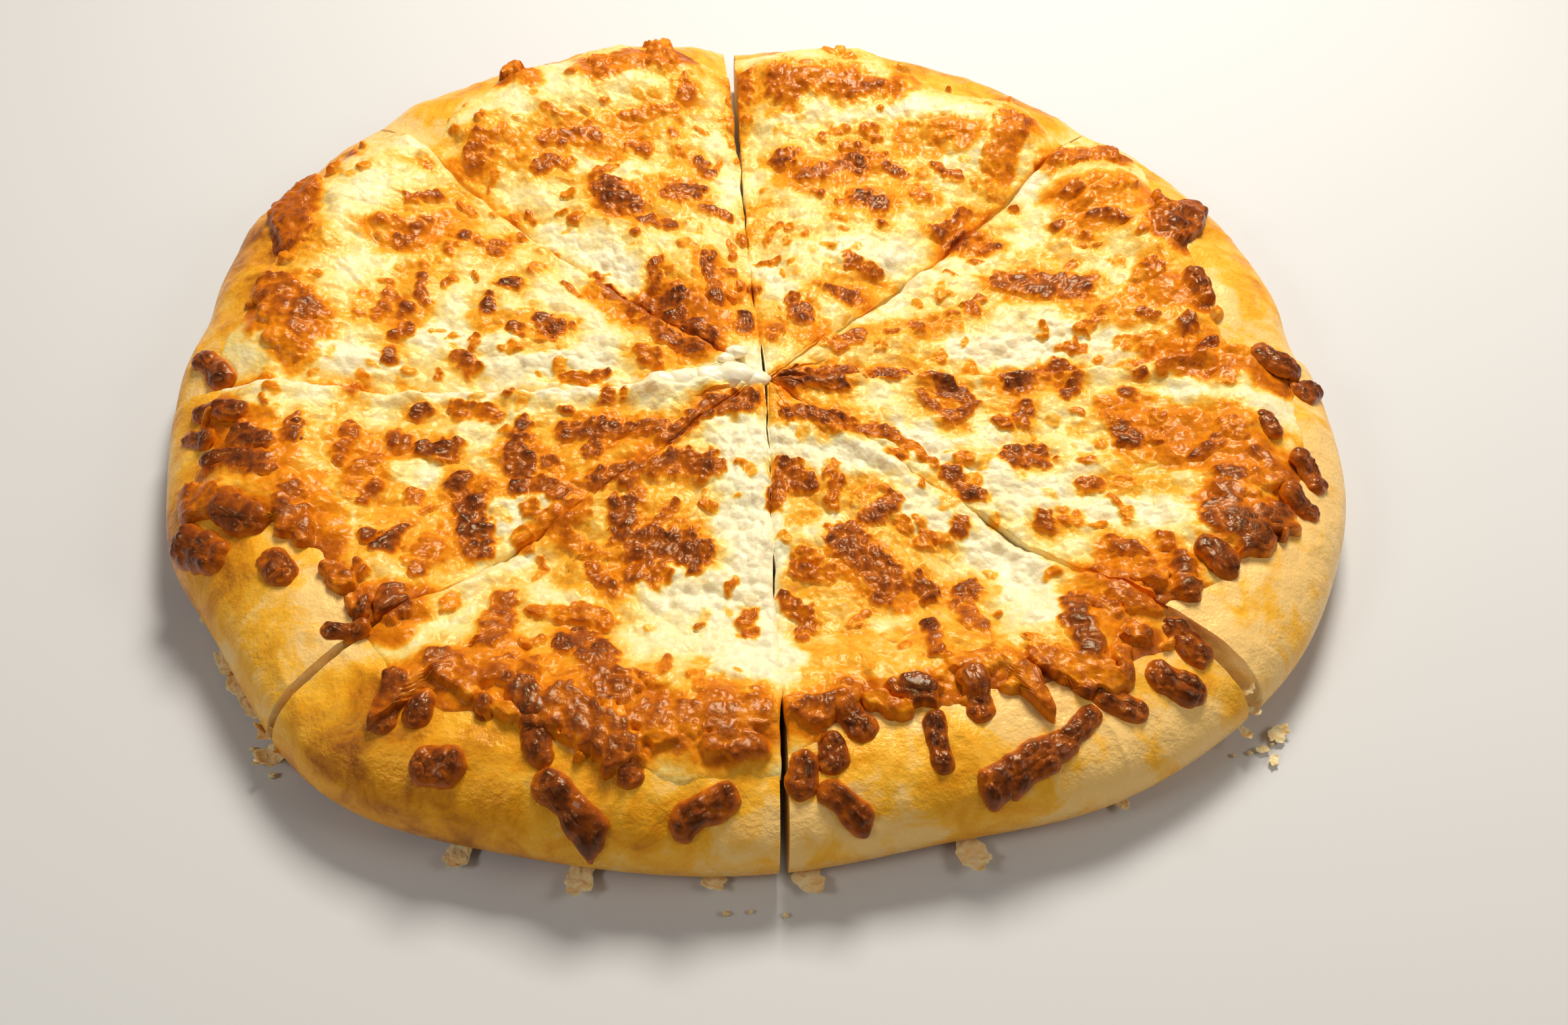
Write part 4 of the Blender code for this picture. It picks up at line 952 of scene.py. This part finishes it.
def make_sheet(number):
    """A fine grid of rays and distances for the top, and one plain skirt and floor that close it below.

    The top is the dough's top, the thickness, which rounds off in a lip at every edge, and the relief.
    """
    apex = slice_apex(number)
    rays = slice_rays(number, SHEET_RAYS)
    reach = reach_to_outline(apex, rays)
    edge = sheet_edge(number, apex, rays, reach)
    share = np.linspace(0.0, 1.0, SHEET_ROWS)[:, None]
    distance = TIP_CUT_OFF + (edge - TIP_CUT_OFF) * share
    waver = 0.0007 * layered(distance, 0.0 * distance + number, 0.014, 81, 3)
    to_cut = distance_to_cut(number, distance, rays)
    first, last = slice_sides(number)
    side = np.where(rays - first < last - rays, 0, 1)
    over = np.array(LEANS_OVER_CUT[number])[side] * np.where(side == 0, -1.0, 1.0)
    over = over * np.clip(1.0 + 0.9 * swell(distance, 0.0 * distance + 3.0 * number, 0.018, 82), 0.0, 1.25)
    over = over * smooth(distance / 0.03) * smooth((edge - distance) / 0.02)
    sideways = (waver + over) * np.exp(-to_cut / 0.003) * smooth(distance / 0.02)
    x = apex[0] + distance * np.cos(rays) - sideways * np.sin(rays)
    y = apex[1] + distance * np.sin(rays) + sideways * np.cos(rays)
    bed = crust_height(number, reach - distance, distance, rays) + crust_puff(x, y)
    heat, body, white = browning(x, y)
    to_edge = edge - distance
    at_edge = EDGE_HEAT * (1.0 - body) * np.exp(-((to_edge / 0.007) ** 2))
    heat = heat + at_edge * (1.0 + 0.6 * swell(x, y, 0.009, 83))
    # Painted shade at a step between slices, mixed with real browning along the cut
    browning_and_shade_at_cut = np.array(CUT_BROWNING_AND_SHADE[number])[side] * np.exp(-((to_cut / 0.0036) ** 2)) * (1.0 - body)
    heat = heat + browning_and_shade_at_cut * smooth(distance / 0.02) * (1.0 + 0.9 * swell(x, y, 0.011, 84))
    heave = RIM_HEAVE * layered(x, y, 0.020, 86, 2) * smooth((y + 0.02) / 0.04)
    heave = (heave + BACK_SWELL * smooth((y - 0.07) / 0.04)) * smooth(1.0 - (reach - distance) / 0.030)
    lip_out = np.sqrt(np.clip(1.0 - (1.0 - np.clip(to_edge / LIP, 0.0, 1.0)) ** 2, 0.0, 1.0))
    face_gap = np.clip((to_cut - CUT_GAP / 2.0) / 0.0016, 0.0, 1.0)
    lip_cut = 0.70 + 0.30 * np.sqrt(np.clip(1.0 - (1.0 - face_gap) ** 2, 0.0, 1.0))
    thin = (1.0 - 0.75 * body) * np.exp(-((to_edge / 0.010) ** 2))
    roll = np.array(CUT_ROLL[number])[side] * np.exp(-(((to_cut - 0.0028) / 0.0026) ** 2))
    roll = roll * smooth(distance / 0.02) * smooth(to_edge / 0.03) * (1.0 + 0.8 * swell(x, y, 0.010, 85))
    relief = sheet_relief(x, y, body, white) * (1.0 - 0.85 * thin) + roll
    dip = EDGE_DIP * (1.0 - smooth(to_edge / 0.0020))
    proud = (SHEET_THICKNESS * (1.0 - 0.93 * thin) + relief) * lip_out * lip_cut
    height = settled(bed + proud - dip + heave * lip_out)
    top = np.stack([x, y, height], axis=-1)
    rim = np.concatenate([
        np.arange(SHEET_ROWS) * SHEET_RAYS,
        (SHEET_ROWS - 1) * SHEET_RAYS + np.arange(1, SHEET_RAYS),
        np.arange(SHEET_ROWS - 2, -1, -1) * SHEET_RAYS + SHEET_RAYS - 1,
        np.arange(SHEET_RAYS - 2, 0, -1),
    ])
    skirt = top.reshape(-1, 3)[rim].copy()
    skirt[:, 2] = bed.ravel()[rim] - 0.0008
    points = np.concatenate([top.reshape(-1, 3), skirt])
    corner = np.arange(SHEET_ROWS * SHEET_RAYS).reshape(SHEET_ROWS, SHEET_RAYS)
    quads = (corner[:-1, :-1], corner[1:, :-1], corner[1:, 1:], corner[:-1, 1:])
    faces = np.stack(quads, axis=-1).reshape(-1, 4)
    low = SHEET_ROWS * SHEET_RAYS + np.arange(len(rim))
    walls = np.stack([rim, np.roll(rim, -1), np.roll(low, -1), low], axis=-1)
    left = low[:SHEET_ROWS]
    right_start = SHEET_ROWS + SHEET_RAYS - 2
    right_side = low[right_start:right_start + SHEET_ROWS][::-1]
    floor = np.stack([left[:-1], right_side[:-1], right_side[1:], left[1:]], axis=-1)
    arc = low[SHEET_ROWS - 1:right_start + 1].tolist()
    tip = [*low[right_start + SHEET_ROWS - 1:].tolist(), int(low[0])]
    polygons = faces.tolist() + walls[:, ::-1].tolist() + floor.tolist() + [arc[::-1], tip[::-1]]
    # These browning values also carry the painted shade at the cuts and the painted warm light at the back
    heat = np.concatenate([heat.ravel(), heat.ravel()[rim] * 0.5])
    sheet = add_piece(f"melt_{number + 1}", points, polygons, cheese.material, 70.0, browning=heat)
    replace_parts(sheet, f"cheese_{number + 1}")
    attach(sheet, "root")


for number in SLICES:
    make_sheet(number)

# The knobs: shreds of cheese that browned right through. Some hang over the sheet's edge, and six lie by
# themselves on the bare rim. Each is a domed bean with a blistered, oily skin.
# Each row: the slice (from 0), then x, y, x, y and half width in millimetres
LONE_SHREDS = (
    (5, -66.6, -124.2, -63.4, -123.8, 4.2), (5, -42.5, -128.6, -34.2, -136.2, 3.5),
    (5, -15.8, -134.8, -8.3, -131.0, 3.4), (6, 12.6, -129.6, 18.4, -133.4, 3.1),
    (6, 45.4, -127.0, 60.6, -119.0, 3.3), (4, -106.6, -76.0, -104.4, -78.2, 4.0),
)
KNOBS = (
    (5, -70, -111.5, -70, -113, 3.4), (5, -76, -110, -76.5, -115, 2.7), (5, -46, -118, -45, -122, 3.3),
    (5, -28, -122, -27, -127, 3.0), (5, -50, -108, -47, -113, 2.9), (5, -43, -95, -43, -96, 2.6),
    (5, -57, -112, -57, -113.5, 1.9), (5, -36, -97, -35, -99, 2.4), (6, 7, -124, 7, -127, 3.6),
    (6, 13, -120, 13.5, -123, 3.2), (6, 34, -115, 35, -123, 2.7), (6, 43, -105, 44, -112, 3.4),
    (6, 70, -108, 77, -111, 3.0), (6, 84, -103.5, 90, -105.5, 3.8), (6, 36, -88, 36, -89, 2.1),
    (6, 29, -107, 33, -108, 2.6), (6, 60, -119, 67, -113, 2.7), (6, 50, -124.6, 56.5, -121, 3.9),
    (6, 17, -113, 19, -116, 3.4), (7, 89, -92, 93, -97, 3.9), (7, 101, -71, 104, -75, 3.6),
    (7, 125, -54, 128, -57, 3.4), (7, 131, -43, 133, -48, 3.6), (7, 124, -30, 125.5, -34, 2.4),
    (7, 130, -8, 135, -11, 4.0), (7, 139, -17, 143, -14, 3.2), (7, 108, -64, 113, -68, 3.6),
    (7, 118, -62, 121, -62, 3.0), (0, 120, 24, 121, 19, 2.3), (0, 119, 46, 124, 50, 3.8),
    (0, 123, 53, 127, 58, 3.8), (0, 117, -1, 119, 1, 2.3), (3, -139, -9, -132, -17, 3.2),
    (3, -67, 25, -67, 24, 2.5), (3, -72, 16, -72, 14, 2.3), (3, -55, 8, -54, 7, 2.6),
    (4, -133, -29.5, -124, -32, 3.1), (4, -135.5, -36, -130, -39, 2.5), (4, -121, -39, -116, -42, 2.8),
    (4, -126, -47, -121, -46.5, 2.9), (4, -120, -47, -113, -51, 2.8), (4, -120, -61, -114, -65, 4.2),
    (4, -129, -66, -121, -72, 4.2), (4, -109, -36, -109, -40, 2.5), (4, -91, -93, -85, -93.5, 2.4),
    (4, -85, -87, -85, -89, 1.7), (2, -23, 15, -22, 15, 2.5),
)
KNOB_RINGS = 26
KNOB_SIDES = 72
KNOB_RISE = 0.54
KNOB_SUNK = 0.0008
KNOB_LOBES = 0.26
KNOB_NICKS = 0.09
KNOB_FOOT_HEAT = 0.54
KNOB_DOME_HEAT = 0.20
KNOB_BUBBLE_HEAT = 0.36

knob = cheese_finish("browned_cheese", 0.14)


def surface_at(number, x, y):
    """What a knob lies on: the dough's top, and the sheet's even thickness where the sheet covers it."""
    apex = slice_apex(number)
    ray = np.arctan2(y - apex[1], x - apex[0])
    ray = np.where(ray < slice_sides(number)[0] - 0.2, ray + 2.0 * math.pi, ray)
    reach = reach_to_outline(apex, ray)
    insets = np.array(SHEET_INSETS[number])
    first, last = slice_sides(number)
    share = (ray - first) / (last - first) * (len(insets) - 1.0)
    inset = reach - np.hypot(x - apex[0], y - apex[1])
    covered = smooth((inset - np.interp(share, np.arange(len(insets)), insets)) / 0.004)
    return crust_at(number, x, y) + SHEET_THICKNESS * covered


def bean(number, from_x, from_y, to_x, to_y, width, seed):
    """Rings about a short line, from the foot of the knob to its ridge, raised along the surface's normal.

    The outline goes round a bar with half-round ends at even steps, with lobes. The dome is uneven, and
    bubbles blister it. The foot lies under the surface. Gives the rings and how far each point is browned:
    orange at the foot, darkest on the bubbles.
    """
    ring = np.sin(np.linspace(1.0, 0.02, KNOB_RINGS) * math.pi / 2.0)[:, None]
    lean = math.atan2(to_y - from_y, to_x - from_x)
    half = math.hypot(to_x - from_x, to_y - from_y) / 2.0
    corners = np.cumsum((0.0, 2.0 * half, math.pi * width, 2.0 * half, math.pi * width))
    walk = np.arange(KNOB_SIDES) * corners[-1] / KNOB_SIDES
    middle = np.interp(walk, corners, (half, -half, -half, half, half))
    outward = np.interp(walk, corners, np.array((1.0, 1.0, 3.0, 3.0, 5.0)) * math.pi / 2.0)
    foot_x = middle + width * np.cos(outward)
    foot_y = width * np.sin(outward)
    lobes = 1.0 + KNOB_LOBES * swell(foot_x + seed, foot_y, 0.0060, 90)
    lobes = lobes + KNOB_NICKS * swell(foot_x + seed, foot_y, 0.0022, 91)
    along = middle + ring * width * lobes * np.cos(outward)
    across = ring * width * lobes * np.sin(outward)
    x = (from_x + to_x) / 2.0 + along * math.cos(lean) - across * math.sin(lean)
    y = (from_y + to_y) / 2.0 + along * math.sin(lean) + across * math.cos(lean)
    step = 0.0004
    slope_x = (surface_at(number, x + step, y) - surface_at(number, x - step, y)) / (2.0 * step)
    slope_y = (surface_at(number, x, y + step) - surface_at(number, x, y - step)) / (2.0 * step)
    normal = np.stack([-slope_x, -slope_y, np.ones(x.shape)], axis=-1)
    normal /= np.linalg.norm(normal, axis=-1, keepdims=True)
    dome = np.sqrt(np.clip(1.0 - ring**2.4, 0.0, 1.0)) + 0.0 * x
    bubble = 0.6 * domes(x, y, 0.0031, 93) + 0.4 * domes(x, y, 0.0016, 94)
    rise = width * KNOB_RISE * dome * (1.0 + 0.25 * swell(x, y, 0.005, 95)) + 0.0011 * (bubble - 0.3) * dome
    rise = rise - KNOB_SUNK * (1.0 - dome)
    base = np.stack([x, y, surface_at(number, x, y)], axis=-1)
    points = base + normal * rise[..., None]
    points[..., 2] = settled(points[..., 2])
    return points, KNOB_FOOT_HEAT + KNOB_DOME_HEAT * dome + KNOB_BUBBLE_HEAT * bubble * dome


def knob_piece(name, rows):
    shells = []
    browned = []
    for index, (number, *ends, width) in enumerate(rows):
        shell, heat = bean(number, *[value * MM for value in ends], width * MM, 0.7 * index + 0.3)
        shells.append(shell)
        browned.append(heat.ravel())
    piece = add_piece(name, *join_shells(shells), knob.material, browning=np.concatenate(browned))
    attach(piece, "root")
    return piece


for index, row in enumerate(LONE_SHREDS):
    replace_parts(knob_piece(f"lone_shred_{index + 1}", [row]), f"shred_{index + 1}")
for number in SLICES:
    rows = [row for row in KNOBS if row[0] == number]
    if rows:
        knob_piece(f"knobs_{number + 1}", rows)

# The torn edges: where the knife left the rim at the front, the dough tore into thin dry flakes. A few more
# stick out from under the front rim, and some crumbs have dropped beside the two corners.
# Each flake: x, y, z, length, width, and the degrees that it turns, stands up and curls
FLAKES = (
    (-102.0, -107.5, 8.5, 6.6, 4.6, 225, 30, 0.9), (-104.0, -107.0, 6.0, 7.4, 4.8, 215, 20, 1.0),
    (-100.0, -111.0, 5.5, 7.0, 4.6, 240, 10, 0.9), (-105.0, -106.0, 3.5, 6.0, 4.4, 205, -15, 0.8),
    (-103.5, -111.5, 3.0, 8.6, 5.2, 225, 5, 1.0), (-96.5, -106.5, 15.0, 4.4, 2.6, 250, 40, 0.7),
    (-105.5, -103.5, 6.0, 4.2, 3.0, 190, 15, 0.9), (-92.0, -100.5, 18.2, 4.0, 2.4, 300, 25, 0.6),
    (-86.0, -94.5, 20.0, 3.6, 2.2, 120, 30, 0.6), (-106.0, -111.0, 1.2, 6.0, 4.2, 205, 0, 0.5),
    (-119.5, -88.5, 1.6, 8.0, 3.6, 305, 6, 0.7), (-115.0, -94.5, 1.8, 8.0, 4.0, 312, 8, 0.7),
    (-110.5, -100.0, 1.8, 8.0, 4.0, 316, 6, 0.8), (-127.0, -75.0, 1.4, 6.0, 3.0, 300, 4, 0.6),
    (107.9, -104.3, 9.0, 3.6, 2.4, 320, 25, 0.9), (106.4, -107.4, 5.0, 3.6, 2.6, 300, 10, 0.8),
    (105.4, -101.8, 14.0, 3.4, 2.0, 20, 35, 0.6), (115.5, -105.2, 0.8, 5.6, 3.6, 35, 4, 0.6),
    (111.3, -108.8, 0.5, 3.0, 2.2, 10, 0, 0.4), (113.0, -111.5, 0.5, 3.2, 2.2, 60, 0, 0.5),
    (-62.5, -133.5, 1.2, 7.0, 4.6, 255, 4, 0.6), (-37.5, -138.6, 1.4, 9.0, 6.0, 262, 6, 0.7),
    (-10.5, -138.8, 1.0, 6.0, 5.0, 268, 3, 0.6), (9.0, -139.0, 1.0, 8.0, 6.0, 305, 5, 0.6),
    (43.0, -134.2, 1.8, 8.0, 7.0, 280, 9, 0.5), (76.5, -122.0, 1.2, 4.0, 3.0, 300, 6, 0.6),
)
FLAKE_THICK = 0.00022
FLAKE_RINGS = 12
FLAKE_SIDES = 40
CRUMB_SHAPE = (1.0, 0.8, 0.7)
CRUMB_ROUGHNESS = 0.35
# Each dropped crumb in millimetres: x, y, and half its length
DROPPED = (
    (108.2, -109.6, 0.6), (113.8, -107.4, 0.5), (104.4, -110.2, 0.5), (-103.8, -115.2, 0.8),
    (-109.4, -108.8, 0.6), (-8.0, -146.0, 0.7), (-3.0, -145.6, 0.5), (4.0, -146.4, 0.6),
)

dry_skin = crumb_finish("dry_skin", (0.98, 0.80, 0.46), (0.93, 0.60, 0.24))


def flake(x, y, z, length, width, turn, stand, curl, seed):
    """A thin ragged leaf that curls up: rings from its middle over the top, round the edge and back below."""
    spread = np.linspace(0.02, 1.0, FLAKE_RINGS)
    around = np.arange(FLAKE_SIDES) * 2.0 * math.pi / FLAKE_SIDES
    ragged = 1.0 + 0.30 * layered(np.cos(around) * 1.6 + seed, np.sin(around) * 1.6, 1.0, 96, 3)
    shells = []
    for ring, side in [(r, 1.0) for r in spread] + [(r, -1.0) for r in spread[::-1]]:
        along = ring * length * MM * 0.5 * np.cos(around) * ragged
        across = ring * width * MM * 0.5 * np.sin(around) * ragged
        bend = curl * (along**2 + 0.5 * across**2) / (length * MM)
        ripple = 0.0003 * layered(along + seed, across, 0.0016, 97, 2)
        thick = side * FLAKE_THICK * math.sqrt(max(1.0 - ring**4, 0.0))
        shells.append(np.stack([along, across, bend + ripple + thick], axis=-1))
    points = np.stack(shells)
    rise = math.radians(-stand)
    heading = math.radians(turn)
    turned = Matrix.Rotation(heading, 3, "Z") @ Matrix.Rotation(rise, 3, "Y")
    placed = points @ np.array(turned).T + np.array((x, y, z)) * MM
    placed[..., 2] = np.maximum(placed[..., 2], 0.00002)
    return placed


leaves = [flake(*row, 5.0 * index) for index, row in enumerate(FLAKES)]
torn_edges = add_piece("torn_edges", *join_shells(leaves), dry_skin.material)
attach(torn_edges, "root")
dropped = []
for index, (x, y, size) in enumerate(DROPPED):
    middle = (x * MM, y * MM, size * MM * CRUMB_SHAPE[2])
    sides = [size * MM * side for side in CRUMB_SHAPE]
    dropped.append(ball(middle, sides, 130 + index, CRUMB_ROUGHNESS)[1:-1])
crumbs = add_piece("crumbs", *join_shells(dropped), dry_skin.material)
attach(crumbs, "root")

# The floor and the light: a plain pale floor, one soft light high behind on the right, two weak ones from the
# front left and the front right, and a pale surround.
FLOOR_HALF = 3.0
FLOOR_DROP = 0.0002

floor_mesh = bpy.data.meshes.new("floor")
floor_mesh.from_pydata(
    [(x * FLOOR_HALF, y * FLOOR_HALF, -FLOOR_DROP) for x, y in ((-1, -1), (1, -1), (1, 1), (-1, 1))],
    [], [(0, 1, 2, 3)],
)
floor_finish = Finish("floor")
floor_finish.set(Base_Color=(0.64, 0.63, 0.61), Roughness=0.7)
floor_mesh.materials.append(floor_finish.material)
floor_piece = bpy.data.objects.new("floor", floor_mesh)
bpy.context.scene.collection.objects.link(floor_piece)


def add_light(name, place, size, power, colour):
    """A square area light at a place, turned to face the bread."""
    lamp = bpy.data.lights.new(name, "AREA")
    lamp.size = size
    lamp.energy = power
    lamp.color = colour
    light = bpy.data.objects.new(name, lamp)
    light.location = place
    light.rotation_euler = (-Vector(place)).to_track_quat("-Z", "Y").to_euler()
    bpy.context.scene.collection.objects.link(light)


# Each light: name, place, size, watts and colour
LIGHTS = (
    ("key", (0.12, 0.48, 0.68), 0.26, 8.7, (1.0, 0.95, 0.88)),
    ("left fill", (-0.60, -0.35, 0.55), 0.20, 1.3, (1.0, 0.97, 0.93)),
    ("right fill", (0.62, -0.22, 0.50), 0.30, 1.2, (1.0, 0.96, 0.90)),
)
SURROUND_COLOUR = (1.0, 0.98, 0.95, 1.0)
SURROUND_STRENGTH = 0.12

for light in LIGHTS:
    add_light(*light)
surround = bpy.data.worlds.new("surround")
surround.use_nodes = True
surround.node_tree.nodes["Background"].inputs["Color"].default_value = SURROUND_COLOUR
surround.node_tree.nodes["Background"].inputs["Strength"].default_value = SURROUND_STRENGTH
bpy.context.scene.world = surround
bpy.context.scene.view_settings.view_transform = "Standard"

# Bring every placement up to date.
bpy.context.view_layer.update()
